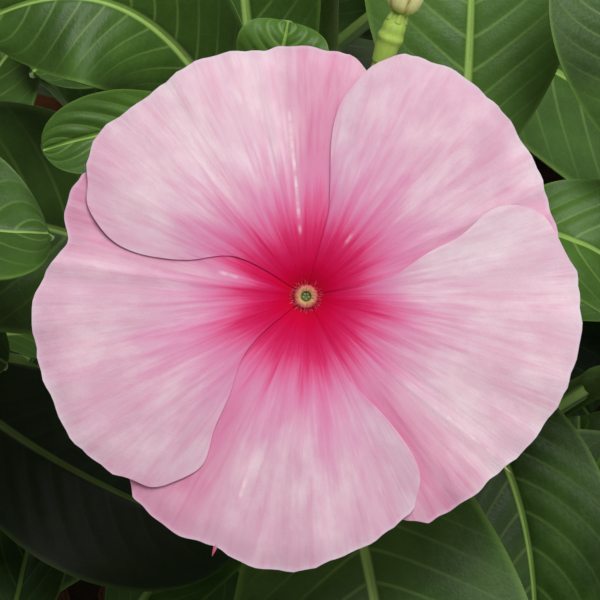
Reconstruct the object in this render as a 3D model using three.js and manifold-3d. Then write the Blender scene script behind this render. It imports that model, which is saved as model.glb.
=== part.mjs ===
// A Madagascar periwinkle in a plain terracotta pot.
// Millimetres, +Z up, origin at the centre of the pot's underside, -Y towards the viewer.

import * as THREE from "three";
import { mergeVertices } from "three/addons/utils/BufferGeometryUtils.js";
import Module from "manifold-3d";

const wasm = await Module();
wasm.setup();

// Pot
const POT_HEIGHT = 115;
const POT_TOP_RADIUS = 66;
const POT_BASE_RADIUS = 45;
const POT_WALL = 5;
const POT_FLOOR = 7;
const POT_BEVEL = 1.5;
const RIM_HEIGHT = 23;
const RIM_STEP = 3;
const POT_SIDES = 28;
const DRAIN_COUNT = 3;
const DRAIN_RADIUS = 4.5;
const DRAIN_FROM_CENTRE = 24;
const DRAIN_SIDES = 12;
const CUT_MARGIN = 1;

// Soil
const SOIL_DROP = 12;
const SOIL_TOP = POT_HEIGHT - SOIL_DROP;
const SOIL_CROWN = 2;
const SOIL_LUMP = 0.9;
const SOIL_LUMP_WAVES = [4.1, 5.3];
const SOIL_RINGS = [0.3, 0.6, 0.84];
const SEAT_GAP = 0.3;
const HOLE_RADIUS = 2.75;
const HOLE_DEPTH = 20;
const HOLE_SIDES = 8;

// The bloom that faces the viewer, and the directions seen from there
const FACING_ELEVATION = THREE.MathUtils.degToRad(66);
const BLOOM_CENTRE = new THREE.Vector3(0, -36, 240);
const TO_RIGHT = new THREE.Vector3(1, 0, 0);
const TO_TOP = new THREE.Vector3(0, Math.sin(FACING_ELEVATION), Math.cos(FACING_ELEVATION));
const TO_VIEWER = new THREE.Vector3(0, -Math.cos(FACING_ELEVATION), Math.sin(FACING_ELEVATION));
const UP = new THREE.Vector3(0, 0, 1);

// Bloom: the outline of a petal is given in degrees from its crease, positive counter-clockwise
const THROAT_RADIUS = 0.8;
const THROAT_DEPTH = 1.2;
const THROAT_REACH = 1.8;
const BLOOM_TUBE_LENGTH = 26;
const BLOOM_TUBE_SIDES = 6;
const BLOOM_TUBE = [
  [0, -BLOOM_TUBE_LENGTH],
  [0.75, -BLOOM_TUBE_LENGTH],
  [1.15, -BLOOM_TUBE_LENGTH / 2],
  [1.45, -4.5],
  [1.15, -2.4],
  [1.6, -1.3],
  [1.2, -1.05],
  [0, -1.05],
];
const PETAL_THICKNESS = 0.62;
const PETAL_TILT = 1.1;
const PETAL_TILT_ANGLE = 60;
const PETAL_LIFT_FROM = 0.04;
const PETAL_LIFT_TO = 0.6;
const PETAL_DISH = 0.9;
const PETAL_DISH_PLACE = 0.8;
const RIM_ANGLES = [-36, -24, -12, -5, 0, 9, 18, 30, 40, 52];
const SIDE_STEPS = [0, 0.15, 0.3, 0.45, 0.6, 0.75, 0.87, 0.95, 1];
const UNDER_SIDE = [-26, -27, -29, -32, -33, -32, -29.5, -26, -21];
const PETALS = [
  {
    apex: 24.7,
    rim: [24.0, 24.3, 24.4, 24.5, 24.8, 25.1, 25.4, 25.5, 25.0, 23.8],
    overSide: [50, 50, 50, 53.5, 56, 55.5, 52, 48.5, 43],
  },
  {
    apex: 100.8,
    rim: [22.8, 23.2, 23.5, 23.8, 23.6, 24.4, 24.4, 24.1, 24.9, 23.8],
    overSide: [46, 46, 50, 61, 64.5, 64, 60, 55, 48],
  },
  {
    apex: 172.6,
    rim: [23.8, 24.1, 24.2, 23.1, 24.3, 25.8, 26.0, 25.9, 25.8, 24.4],
    overSide: [47, 46.5, 50.5, 59, 62.5, 65.8, 62, 58, 50],
  },
  {
    apex: 250.1,
    rim: [24.2, 24.7, 25.5, 25.3, 25.2, 26.0, 25.9, 24.5, 23.3, 21.0],
    overSide: [46, 45.5, 44.5, 49.5, 53, 54, 53.5, 50, 44],
  },
  {
    apex: 319.3,
    rim: [23.8, 24.1, 24.5, 24.5, 24.8, 25.4, 25.9, 26.2, 25.9, 25.2],
    overSide: [50, 50, 53.5, 60, 62, 65.7, 63.5, 57.5, 46],
  },
];
const FINE_PETAL = { across: [1, 0.7, 0.35, 0, -0.5, -1], out: [0, 0.25, 0.55, 0.82, 0.94, 1] };
const PLAIN_PETAL = { across: [1, 0.5, 0, -1], out: [0, 0.45, 0.85, 1] };
const EYE_OUTER = 1.15;
const EYE_INNER = 0.45;
const EYE_BOTTOM = -0.45;
const EYE_SHOULDER = -0.1;
const EYE_TOP = 0.1;
const EYE_SIDES = 8;

// Buds, as radius and height: a plump young one, and a longer one furled above its tube
const YOUNG_BUD = [[0, 0], [0.75, 0], [0.85, 0.9], [1.8, 1.9], [1.85, 3.4], [1.3, 6], [0.4, 8.5], [0, 8.5]];
const FURLED_BUD = [[0, 0], [0.75, 0], [0.9, 7], [2, 10.5], [1.9, 14], [1.1, 18.5], [0.3, 22], [0, 22]];
const BUD_SIDES = 7;

// Leaves
const BLADE_THICKNESS = 0.65;
const PETIOLE_SHARE = 0.12;
const PETIOLE_HALF_WIDTH = 0.6;
const MUCRO_HALF_WIDTH = 0.35;
const BASE_TAPER = 0.95;
const TIP_ROUNDING = 0.5;
const WIDEST_AT = BASE_TAPER / (BASE_TAPER + TIP_ROUNDING);
const WIDEST = WIDEST_AT ** BASE_TAPER * (1 - WIDEST_AT) ** TIP_ROUNDING;
const BLADE_WAVES = 1.6;
const SEEN_LEAF_ROWS = [0, 0.13, 0.36, 0.62, 0.86, 1];
const LEAF_ROWS = [0, 0.15, 0.42, 0.78, 1];
const LEAF_COLUMNS = [-1, 0, 1];

// Leaf pairs from the lowest to the highest on a stem, then the middle and spread of each leaf's draws
const LEAF_LENGTHS = [50, 60, 58, 48, 36, 22];
const LEAF_PITCHES = [8, 16, 26, 36, 48, 62];
const LOWEST_PAIR = 0.25;
const HIGHEST_PAIR = 0.985;
const PAIR_CLOSING = 0.85;
const PAIR_TURN = 90;
const AZIMUTH_SPREAD = 24;
const LENGTH_SPREAD = 4;
const PITCH_SPREAD = 8;
const LEAF_DROOP = 34;
const DROOP_SPREAD = 12;
const WIDTH_SHARE = 0.41;
const WIDTH_SPREAD = 0.04;
const ROLL_SPREAD = 16;
const LEAF_FOLD = 0.2;
const LEAF_WAVE = 0.12;
const WAVE_SPREAD = 0.06;

// A leaf that points to the plant's middle is shorter, by all of this share from this far out
const CROWDING_LOSS = 0.3;
const CROWDING_REACH = 50;

// Stems
const STEM_FOOT_RADIUS = 2.3;
const STEM_TIP_RADIUS = 1.1;
const BRANCH_FOOT_RADIUS = 1.6;
const STEM_SIDES = 6;
const STEM_RINGS = 7;
const BRANCH_RINGS = 4;
const STEM_SURFACE = SOIL_TOP + 4;
const LOW_RISE = 0.45;
const HIGH_DROP = 0.4;
const HIGH_LEAN = 0.3;

// Flower stalks and calyxes; on an outer stem the stalk leaves below the tip and leans clear of it
const PEDICEL_RADIUS = 0.9;
const PEDICEL_RINGS = 3;
const PEDICEL_BEND = 0.4;
const PEDICEL_SUNK = 0.1;
const CALYX_RADIUS = 1.55;
const CALYX_WAIST = 0.9;
const CALYX_SIDES = 6;
const CALYX = { height: 2.4, tooth: 3.2 };
const YOUNG_CALYX = { height: 5, tooth: 0.7 };
const TOOTH_COUNT = 5;
const TOOTH_SIDES = 3;
const TOOTH_RADII = [0.36, 0.15];
const TOOTH_SUNK = 0.5;
const TOOTH_INSET = 0.2;
const TOOTH_SPREAD = 0.2;
const STALK_FROM = 0.9;
const STALK_LENGTH = 8;
const STALK_PITCH = 35;
const BLOOM_TURN = 47;

// The middle stem carries the facing bloom, and a branch of it the young bud. A leaf near them has its
// place on the stem, then a middle point and a tip as the viewer sees them: right, up and behind the bloom.
const CENTRE_ROOT = [2, -14];
const CENTRE_BENDS = [
  [2, -20, 150],
  [-2, -30, 200],
  [-4, -13.5, 234],
];
const BRANCH_FROM = 0.62;
const BRANCH_BENDS = [
  [6, -27, 203],
  [17, -21.5, 224.6],
];
const CENTRE_LEAVES = [
  { at: 0.78, middle: [-11, 38, 7], tip: [-32.5, 26.6, 14], width: 17, wave: 0.25, phase: 2 },
  { at: 0.76, middle: [9.3, -26, 10], tip: [9.4, -60.5, 22], width: 32, fold: 0.12 },
  { at: 0.7, middle: [-20.6, 8.2, 20], tip: [-43.4, 10, 28], width: 20 },
  { at: 0.66, middle: [-7.1, 30, 26], tip: [-8, 56, 32], width: 17 },
  { at: 0.98, middle: [-15, 17.6, 5], tip: [-25.3, 14.1, 7], width: 7.8 },
  { at: 0.98, middle: [4, 17, 8], tip: [9, 15, 12], width: 6 },
  { at: 1, middle: [-2.5, 22, 5], tip: [-1.7, 26.5, 8], width: 9 },
];
const BRANCH_LEAVES = [
  { at: 0.55, middle: [24.5, -12, 24], tip: [23.4, -38, 30], width: 18 },
  { at: 0.9, middle: [16.8, 24, 15], tip: [16.8, 47, 24], width: 22 },
  { at: 0.96, middle: [24.4, 9, 6], tip: [35, 0, 17], width: 16, roll: -34 },
  { at: 0.96, middle: [11, 8, 12], tip: [8, 8, 15], width: 5 },
];
const CENTRE_SEED = 250;
const CENTRE_PAIRS = 3;
const CENTRE_PAIRS_TOP = 0.5;
const BLOOM_STALK_FROM = 0.78;
const BUD_STALK_FROM = 0.97;
const BUD_SEAT = [9.5, 27.3, 9];
const BUD_AXIS = [0.12, 0.93, 0.35];

// Every other stem: where it stands in the soil, where its tip is, its leaf pairs and the seed of their
// draws, chosen so that its leaves pass clear of the other stems, and which leaves have dropped.
const STEMS = [
  {
    name: "left",
    root: [-22, -6],
    tip: [-60, -20, 224],
    pairs: 6,
    seed: 105,
    missing: [],
    seen: [
      { at: 0.97, middle: [-43.5, 7, 3], tip: [-25, 6.2, 10], width: 21, roll: -50 },
      { at: 0.66, middle: [-33.7, -17, 46], tip: [-7.1, -26.3, 50], width: 20 },
    ],
    flower: { kind: "bloom", azimuth: 205, tilt: 34, size: 0.92 },
  },
  {
    name: "right",
    root: [22, -8],
    tip: [62, -16, 217],
    pairs: 6,
    seed: 146,
    missing: [],
    seen: [{ at: 0.93, middle: [31.2, 12.5, 1], tip: [27.7, 34.7, 10], width: 14 }],
    flower: { kind: "bloom", azimuth: -20, tilt: 36, size: 0.9 },
  },
  {
    name: "back_left",
    root: [-17, 18],
    tip: [-46, 42, 210],
    pairs: 6,
    seed: 5741,
    missing: [],
    seen: [],
    flower: { kind: "bloom", azimuth: 130, tilt: 32, size: 0.86 },
  },
  {
    name: "back_right",
    root: [18, 20],
    tip: [48, 46, 206],
    pairs: 6,
    seed: 2454,
    missing: [],
    seen: [],
    flower: { kind: "bud", azimuth: 40, tilt: 24 },
  },
  {
    name: "back",
    root: [2, 28],
    tip: [3, 36, 228],
    pairs: 6,
    seed: 1504,
    missing: [10],
    seen: [],
    flower: { kind: "bloom", azimuth: 80, tilt: 26, size: 0.94 },
  },
  {
    name: "front_left",
    root: [-13, -30],
    tip: [-34, -58, 172],
    pairs: 5,
    seed: 5230,
    missing: [8],
    seen: [],
    flower: { kind: "bud", azimuth: 235, tilt: 30 },
  },
  {
    name: "front_right",
    root: [16, -30],
    tip: [40, -60, 170],
    pairs: 5,
    seed: 2378,
    missing: [2],
    seen: [],
    flower: { kind: "bloom", azimuth: -55, tilt: 42, size: 0.88 },
  },
];

const terracotta = new THREE.MeshStandardMaterial({ color: "#b4623f", roughness: 0.85, metalness: 0 });
const soilBrown = new THREE.MeshStandardMaterial({ color: "#3b2a20", roughness: 1, metalness: 0 });
const leafGreen = new THREE.MeshStandardMaterial({ color: "#3d5f2e", roughness: 0.45, metalness: 0 });
const petalPink = new THREE.MeshStandardMaterial({ color: "#e3b7cd", roughness: 0.6, metalness: 0 });
const eyeSalmon = new THREE.MeshStandardMaterial({ color: "#d98f6a", roughness: 0.6, metalness: 0 });
const budCream = new THREE.MeshStandardMaterial({ color: "#d9cf9a", roughness: 0.55, metalness: 0 });

// A point given from the bloom's centre as the viewer sees it: to the right, to the top and behind.
function besideBloom([right, up, behind]) {
  return BLOOM_CENTRE.clone()
    .addScaledVector(TO_RIGHT, right)
    .addScaledVector(TO_TOP, up)
    .addScaledVector(TO_VIEWER, -behind);
}

function pointsOf(places) {
  return places.map((place) => new THREE.Vector3(...place));
}

function heading(azimuthDegrees, elevationDegrees) {
  const azimuth = THREE.MathUtils.degToRad(azimuthDegrees);
  const elevation = THREE.MathUtils.degToRad(elevationDegrees);
  const level = Math.cos(elevation);
  return new THREE.Vector3(level * Math.cos(azimuth), level * Math.sin(azimuth), Math.sin(elevation));
}

// Even draws between 0 and 1 from a seed, by the Park and Miller rule.
class Draws {
  constructor(seed) {
    this.state = seed;
    this.next();
  }

  next() {
    this.state = (this.state * 48271) % 2147483647;
    return this.state / 2147483647;
  }

  around(middle, spread) {
    return middle + spread * (2 * this.next() - 1);
  }
}

// A smooth curve through points (xs, ys): cubic pieces whose slopes follow the neighbouring points.
function smoothCurve(xs, ys, x) {
  const last = xs.length - 1;
  const place = Math.min(Math.max(x, xs[0]), xs[last]);
  const k = Math.min(Math.max(xs.findIndex((knot) => knot >= place), 1), last) - 1;
  const slope = (i) => {
    const low = Math.max(i - 1, 0);
    const high = Math.min(i + 1, last);
    return (ys[high] - ys[low]) / (xs[high] - xs[low]);
  };
  const width = xs[k + 1] - xs[k];
  const t = (place - xs[k]) / width;
  const startWeight = (1 + 2 * t) * (1 - t) ** 2;
  const endWeight = t * t * (3 - 2 * t);
  const startSlope = t * (1 - t) ** 2 * width * slope(k);
  const endSlope = t * t * (t - 1) * width * slope(k + 1);
  return startWeight * ys[k] + endWeight * ys[k + 1] + startSlope + endSlope;
}

// A closed mesh becomes a solid that can be joined and cut.
function solidOf(geometry) {
  const bare = geometry.clone();
  bare.deleteAttribute("normal");
  bare.deleteAttribute("uv");
  const merged = mergeVertices(bare, 1e-5);
  return new wasm.Manifold(
    new wasm.Mesh({
      numProp: 3,
      vertProperties: merged.attributes.position.array,
      triVerts: new Uint32Array(merged.index.array),
    }),
  );
}

function joined(solids) {
  return solids.reduce((whole, piece) => whole.add(piece));
}

function namedMesh(name, solid, material) {
  const { vertProperties, triVerts } = solid.getMesh();
  const geometry = new THREE.BufferGeometry();
  geometry.setAttribute("position", new THREE.BufferAttribute(vertProperties, 3));
  geometry.setIndex(new THREE.BufferAttribute(triVerts, 1));
  geometry.computeVertexNormals();
  const mesh = new THREE.Mesh(geometry, material);
  mesh.name = name;
  return mesh;
}

function geometryFrom(points, faces) {
  const geometry = new THREE.BufferGeometry().setFromPoints(points);
  geometry.setIndex(faces.flat());
  return geometry;
}

// A thin closed blade under a grid of points: rows run along it, columns from its left to its right.
// Both faces are split along the same diagonals.
function bladeGeometry(rows, thickness) {
  const rowCount = rows.length;
  const columnCount = rows[0].length;
  const top = rows.flat();
  const bottom = top.map((point, index) => {
    const row = Math.floor(index / columnCount);
    const column = index % columnCount;
    const before = rows[Math.max(row - 1, 0)][column];
    const after = rows[Math.min(row + 1, rowCount - 1)][column];
    const left = rows[row][Math.max(column - 1, 0)];
    const right = rows[row][Math.min(column + 1, columnCount - 1)];
    const normal = right.clone().sub(left).cross(after.clone().sub(before)).normalize();
    return point.clone().addScaledVector(normal, -thickness);
  });
  const faces = [];
  const topIndex = (row, column) => row * columnCount + column;
  const bottomIndex = (index) => index + top.length;
  for (let row = 0; row < rowCount - 1; row += 1) {
    for (let column = 0; column < columnCount - 1; column += 1) {
      const near = topIndex(row, column);
      const nearRight = topIndex(row, column + 1);
      const farRight = topIndex(row + 1, column + 1);
      const far = topIndex(row + 1, column);
      faces.push([near, nearRight, farRight], [near, farRight, far]);
      faces.push([near, farRight, nearRight].map(bottomIndex), [near, far, farRight].map(bottomIndex));
    }
  }
  const edge = [];
  for (let column = 0; column < columnCount - 1; column += 1) edge.push(topIndex(0, column));
  for (let row = 0; row < rowCount - 1; row += 1) edge.push(topIndex(row, columnCount - 1));
  for (let column = columnCount - 1; column > 0; column -= 1) edge.push(topIndex(rowCount - 1, column));
  for (let row = rowCount - 1; row > 0; row -= 1) edge.push(topIndex(row, 0));
  edge.forEach((from, step) => {
    const to = edge[(step + 1) % edge.length];
    faces.push([from, bottomIndex(from), bottomIndex(to)], [from, bottomIndex(to), to]);
  });
  return geometryFrom([...top, ...bottom], faces);
}

// A closed tube through a list of centres, with a radius at each.
function tubeGeometry(centres, radii, sides) {
  const points = [];
  const faces = [];
  const last = centres.length - 1;
  let side = null;
  centres.forEach((centre, ring) => {
    const ahead = centres[Math.min(ring + 1, last)].clone().sub(centres[Math.max(ring - 1, 0)]).normalize();
    if (!side) side = new THREE.Vector3(1, 0.2, 0.1).cross(ahead);
    side = side.clone().addScaledVector(ahead, -side.dot(ahead)).normalize();
    const other = ahead.clone().cross(side);
    for (let corner = 0; corner < sides; corner += 1) {
      const turn = (2 * Math.PI * corner) / sides;
      points.push(
        centre
          .clone()
          .addScaledVector(side, radii[ring] * Math.cos(turn))
          .addScaledVector(other, radii[ring] * Math.sin(turn)),
      );
    }
  });
  for (let ring = 0; ring < last; ring += 1) {
    for (let corner = 0; corner < sides; corner += 1) {
      const here = ring * sides + corner;
      const beside = ring * sides + ((corner + 1) % sides);
      faces.push([here, beside, beside + sides], [here, beside + sides, here + sides]);
    }
  }
  for (let corner = 1; corner < sides - 1; corner += 1) {
    faces.push([0, corner + 1, corner]);
    faces.push([last * sides, last * sides + corner, last * sides + corner + 1]);
  }
  return geometryFrom(points, faces);
}

// Places a solid's mesh with its own +Z along an axis and its own +X level.
function placeFacing(mesh, centre, axis, right) {
  const ahead = right.clone().addScaledVector(axis, -right.dot(axis)).normalize();
  const turn = new THREE.Matrix4().makeBasis(ahead, axis.clone().cross(ahead), axis);
  mesh.quaternion.setFromRotationMatrix(turn);
  mesh.position.copy(centre);
  return mesh;
}

// Pot: a tapered wall, a rim band, a floor with three drainage holes.
function potRadiusAt(height) {
  return POT_BASE_RADIUS + ((POT_TOP_RADIUS - RIM_STEP - POT_BASE_RADIUS) * height) / POT_HEIGHT;
}

function potInsideAt(height) {
  return potRadiusAt(height) - POT_WALL;
}

function turned(profile, sides) {
  const points = profile.map(([radius, height]) => new THREE.Vector2(radius, height));
  return new THREE.LatheGeometry(points, sides).rotateX(Math.PI / 2);
}

function uprightCylinder(radius, bottom, top, x, y, sides) {
  return new THREE.CylinderGeometry(radius, radius, top - bottom, sides)
    .rotateX(Math.PI / 2)
    .translate(x, y, (top + bottom) / 2);
}

function makePot() {
  const rimBottom = POT_HEIGHT - RIM_HEIGHT;
  const shell = solidOf(
    turned(
      [
        [0, 0],
        [POT_BASE_RADIUS - POT_BEVEL, 0],
        [POT_BASE_RADIUS, POT_BEVEL],
        [potRadiusAt(rimBottom), rimBottom],
        [potRadiusAt(rimBottom) + RIM_STEP, rimBottom + POT_BEVEL],
        [POT_TOP_RADIUS, POT_HEIGHT - POT_BEVEL],
        [POT_TOP_RADIUS - POT_BEVEL, POT_HEIGHT],
        [potInsideAt(POT_HEIGHT) + POT_BEVEL, POT_HEIGHT],
        [potInsideAt(POT_HEIGHT), POT_HEIGHT - POT_BEVEL],
        [potInsideAt(POT_FLOOR), POT_FLOOR],
        [0, POT_FLOOR],
      ],
      POT_SIDES,
    ),
  );
  const drains = Array.from({ length: DRAIN_COUNT }, (_, index) => {
    const spot = heading(90 + (360 * index) / DRAIN_COUNT, 0).multiplyScalar(DRAIN_FROM_CENTRE);
    return solidOf(
      uprightCylinder(DRAIN_RADIUS, -CUT_MARGIN, POT_FLOOR + CUT_MARGIN, spot.x, spot.y, DRAIN_SIDES),
    );
  });
  return namedMesh("pot", shell.subtract(joined(drains)), terracotta);
}

// Soil: it fills the pot, lumpy on top, with a plain hole for each stem.
function makeSoil(roots) {
  const rimRadius = potInsideAt(SOIL_TOP) - SEAT_GAP;
  const surface = SOIL_RINGS.map((share) => [rimRadius * share, SOIL_TOP + SOIL_CROWN * (1 - share ** 2)]);
  const [waveX, waveY] = SOIL_LUMP_WAVES;
  const profile = [
    [0, POT_FLOOR + SEAT_GAP],
    [potInsideAt(POT_FLOOR) - SEAT_GAP, POT_FLOOR + SEAT_GAP],
    [rimRadius, SOIL_TOP],
    ...surface.reverse(),
    [0, SOIL_TOP + SOIL_CROWN],
  ];
  const geometry = turned(profile, POT_SIDES);
  const places = geometry.attributes.position;
  for (let index = 0; index < places.count; index += 1) {
    const x = places.getX(index);
    const y = places.getY(index);
    const z = places.getZ(index);
    if (z > SOIL_TOP + 0.01) {
      places.setZ(index, z + SOIL_LUMP * Math.sin(x / waveX + 1) * Math.cos(y / waveY));
    }
  }
  const holes = roots.map(([x, y]) =>
    solidOf(uprightCylinder(HOLE_RADIUS, SOIL_TOP - HOLE_DEPTH, POT_HEIGHT, x, y, HOLE_SIDES)),
  );
  return namedMesh("soil", solidOf(geometry).subtract(joined(holes)), soilBrown);
}

// Petal: a point by its share from the crease to a side and its share from throat to rim.
function petalPoint(petal, across, out) {
  const side = across < 0 ? UNDER_SIDE : petal.overSide;
  const angle = Math.abs(across) * smoothCurve(SIDE_STEPS, side, out);
  const rim = smoothCurve(RIM_ANGLES, petal.rim, angle);
  const radius = THROAT_RADIUS + (rim - THROAT_RADIUS) * out;
  const lift = THREE.MathUtils.smoothstep(out, PETAL_LIFT_FROM, PETAL_LIFT_TO);
  const height =
    PETAL_TILT * (angle / PETAL_TILT_ANGLE) * lift +
    PETAL_DISH * Math.sin(Math.PI * out ** PETAL_DISH_PLACE) -
    THROAT_DEPTH * Math.exp(-((radius / THROAT_REACH) ** 2));
  const turn = THREE.MathUtils.degToRad(petal.apex + angle);
  return new THREE.Vector3(radius * Math.cos(turn), radius * Math.sin(turn), height);
}

// Bloom: five petals round a slender tube, in its own frame with the throat at the origin.
function bloomSolid(grid, size) {
  const blades = PETALS.map((petal) => {
    const rows = grid.out.map((out) => grid.across.map((across) => petalPoint(petal, across, out)));
    return solidOf(bladeGeometry(rows, PETAL_THICKNESS / size));
  });
  return joined([solidOf(turned(BLOOM_TUBE, BLOOM_TUBE_SIDES)), ...blades]).scale(size);
}

// Eye: the small raised ring round the throat.
function eyeSolid(size) {
  const ring = [
    [EYE_INNER, EYE_BOTTOM],
    [EYE_OUTER, EYE_BOTTOM],
    [EYE_OUTER, EYE_SHOULDER],
    [(EYE_OUTER + EYE_INNER) / 2, EYE_TOP],
    [EYE_INNER, EYE_SHOULDER],
    [EYE_INNER, EYE_BOTTOM],
  ];
  return solidOf(turned(ring, EYE_SIDES)).scale(size);
}

// Bud: a body turned about its own axis, with its foot at the origin.
function budSolid(profile) {
  return solidOf(turned(profile, BUD_SIDES));
}

// Leaf: half its width at a share of its length, petiole first.
function leafHalfWidth(leaf, along) {
  const blade = Math.max(0, (along - PETIOLE_SHARE) / (1 - PETIOLE_SHARE));
  const outline = (blade ** BASE_TAPER * (1 - blade) ** TIP_ROUNDING) / WIDEST;
  const least = along < 0.5 ? PETIOLE_HALF_WIDTH : MUCRO_HALF_WIDTH;
  return Math.max(least, (leaf.width / 2) * outline);
}

// A point on a leaf: its sides fold up from the rib, and its edges wave.
function leafPoint(leaf, along, across) {
  const ahead = leaf.rib.getTangent(along);
  const level = ahead.clone().cross(leaf.facing).normalize();
  const side = level.applyAxisAngle(ahead, THREE.MathUtils.degToRad(leaf.roll));
  const normal = side.clone().cross(ahead);
  const half = leafHalfWidth(leaf, along);
  const wave = leaf.wave * Math.sin(2 * Math.PI * BLADE_WAVES * along + leaf.phase + across);
  const lift = Math.abs(across) * leaf.fold + across * across * wave;
  return leaf.rib
    .getPoint(along)
    .addScaledVector(side, half * across)
    .addScaledVector(normal, half * lift);
}

function leafSolid(leaf) {
  const rows = leaf.rows.map((along) => LEAF_COLUMNS.map((across) => leafPoint(leaf, along, across)));
  return solidOf(bladeGeometry(rows, BLADE_THICKNESS));
}

// A leaf near the facing bloom: its rib bends over a middle point to its tip, as the viewer sees them.
function seenLeaf(foot, { middle, tip, width, roll = 0, fold = 0.18, wave = 0.1, phase = 0 }) {
  const rib = new THREE.QuadraticBezierCurve3(foot, besideBloom(middle), besideBloom(tip));
  return { rib, rows: SEEN_LEAF_ROWS, width, facing: TO_VIEWER, roll, fold, wave, phase };
}

// A leaf by its heading: it leaves the stem at a pitch and droops towards its tip.
function headedLeaf(foot, { azimuth, pitch, droop, length, width, roll, wave, phase }) {
  const middle = foot.clone().addScaledVector(heading(azimuth, pitch), length / 2);
  const tip = foot.clone().addScaledVector(heading(azimuth, pitch - droop), length);
  const rib = new THREE.QuadraticBezierCurve3(foot, middle, tip);
  return { rib, rows: LEAF_ROWS, width, facing: UP, roll, fold: LEAF_FOLD, wave, phase };
}

// The opposite leaf pairs of one stem, each pair a quarter turn past the last and smaller towards the tip.
function pairedLeaves(path, seed, pairCount, highest) {
  const draws = new Draws(seed);
  const leaves = [];
  const firstTurn = 360 * draws.next();
  for (let pair = 0; pair < pairCount; pair += 1) {
    const level = pair / (pairCount - 1);
    const foot = path.getPoint(LOWEST_PAIR + (highest - LOWEST_PAIR) * level ** PAIR_CLOSING);
    for (const half of [0, 180]) {
      const azimuth = draws.around(firstTurn + PAIR_TURN * pair + half, AZIMUTH_SPREAD);
      const inward = THREE.MathUtils.clamp(-foot.dot(heading(azimuth, 0)) / CROWDING_REACH, 0, 1);
      const length = draws.around(LEAF_LENGTHS[pair], LENGTH_SPREAD) * (1 - CROWDING_LOSS * inward);
      leaves.push(
        headedLeaf(foot, {
          azimuth,
          pitch: draws.around(LEAF_PITCHES[pair], PITCH_SPREAD),
          droop: draws.around(LEAF_DROOP, DROOP_SPREAD),
          length,
          width: length * draws.around(WIDTH_SHARE, WIDTH_SPREAD),
          roll: draws.around(0, ROLL_SPREAD),
          wave: draws.around(LEAF_WAVE, WAVE_SPREAD),
          phase: draws.around(0, Math.PI),
        }),
      );
    }
  }
  return leaves;
}

function aroundAxis(axis) {
  const side = new THREE.Vector3(1, 0.2, 0.1).cross(axis).normalize();
  return { side, other: axis.clone().cross(side) };
}

// Calyx: the green head that the bloom's tube stands on, with five narrow teeth round it.
function calyxSolids(seat, axis, { height, tooth }) {
  const { side, other } = aroundAxis(axis);
  const head = tubeGeometry(
    [-height, -height / 2, 0].map((place) => seat.clone().addScaledVector(axis, place)),
    [PEDICEL_RADIUS, CALYX_RADIUS * CALYX_WAIST, CALYX_RADIUS],
    CALYX_SIDES,
  );
  const teeth = Array.from({ length: TOOTH_COUNT }, (_, index) => {
    const turn = (2 * Math.PI * index) / TOOTH_COUNT;
    const outward = side.clone().multiplyScalar(Math.cos(turn)).addScaledVector(other, Math.sin(turn));
    const toothPoint = (radius, place) =>
      seat.clone().addScaledVector(outward, radius).addScaledVector(axis, place);
    const foot = toothPoint(CALYX_RADIUS - TOOTH_INSET, -TOOTH_SUNK);
    const tip = toothPoint(CALYX_RADIUS + TOOTH_SPREAD * tooth, tooth);
    return tubeGeometry([foot, tip], TOOTH_RADII, TOOTH_SIDES);
  });
  return [head, ...teeth].map(solidOf);
}

// Pedicel: the short stalk that bends from its stem to the calyx.
function pedicelSolid(foot, seat, axis, { height }) {
  const below = seat.clone().addScaledVector(axis, -height * (1 - PEDICEL_SUNK));
  const bend = below.clone().addScaledVector(axis, -foot.distanceTo(below) * PEDICEL_BEND);
  const route = new THREE.QuadraticBezierCurve3(foot, bend, below);
  const centres = route.getPoints(PEDICEL_RINGS);
  return solidOf(tubeGeometry(centres, centres.map(() => PEDICEL_RADIUS), STEM_SIDES));
}

function taperedSolid(centres, footRadius) {
  const last = centres.length - 1;
  const radii = centres.map((_, ring) => footRadius + ((STEM_TIP_RADIUS - footRadius) * ring) / last);
  return solidOf(tubeGeometry(centres, radii, STEM_SIDES));
}

// A stem's rod, from the foot of its hole in the soil to its tip.
function rootedStem(root, path) {
  const foot = new THREE.Vector3(root[0], root[1], SOIL_TOP - HOLE_DEPTH + SEAT_GAP);
  return taperedSolid([foot, ...path.getPoints(STEM_RINGS)], STEM_FOOT_RADIUS);
}

// A stem's line: straight up from the soil, leaning out to its tip.
function leaningPath(root, tip) {
  const foot = new THREE.Vector3(root[0], root[1], STEM_SURFACE);
  const end = new THREE.Vector3(...tip);
  const rise = end.z - foot.z;
  const lean = end.clone().sub(foot).setZ(0);
  const low = foot.clone().addScaledVector(UP, rise * LOW_RISE);
  const high = end.clone().addScaledVector(lean, -HIGH_LEAN).addScaledVector(UP, -rise * HIGH_DROP);
  return new THREE.CubicBezierCurve3(foot, low, high, end);
}

function seenLeaves(path, list) {
  return list.map((leaf) => seenLeaf(path.getPoint(leaf.at), leaf));
}

function placedBloom(name, seat, axis, right, size, grid) {
  const throat = seat.clone().addScaledVector(axis, SEAT_GAP + BLOOM_TUBE_LENGTH * size);
  const bloom = namedMesh(`bloom_${name}`, bloomSolid(grid, size), petalPink);
  const eye = namedMesh(`eye_${name}`, eyeSolid(size), eyeSalmon);
  return [bloom, eye].map((mesh) => placeFacing(mesh, throat, axis, right));
}

function placedBud(name, seat, axis, profile) {
  const foot = seat.clone().addScaledVector(axis, SEAT_GAP);
  return placeFacing(namedMesh(`bud_${name}`, budSolid(profile), budCream), foot, axis, TO_RIGHT);
}

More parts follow.
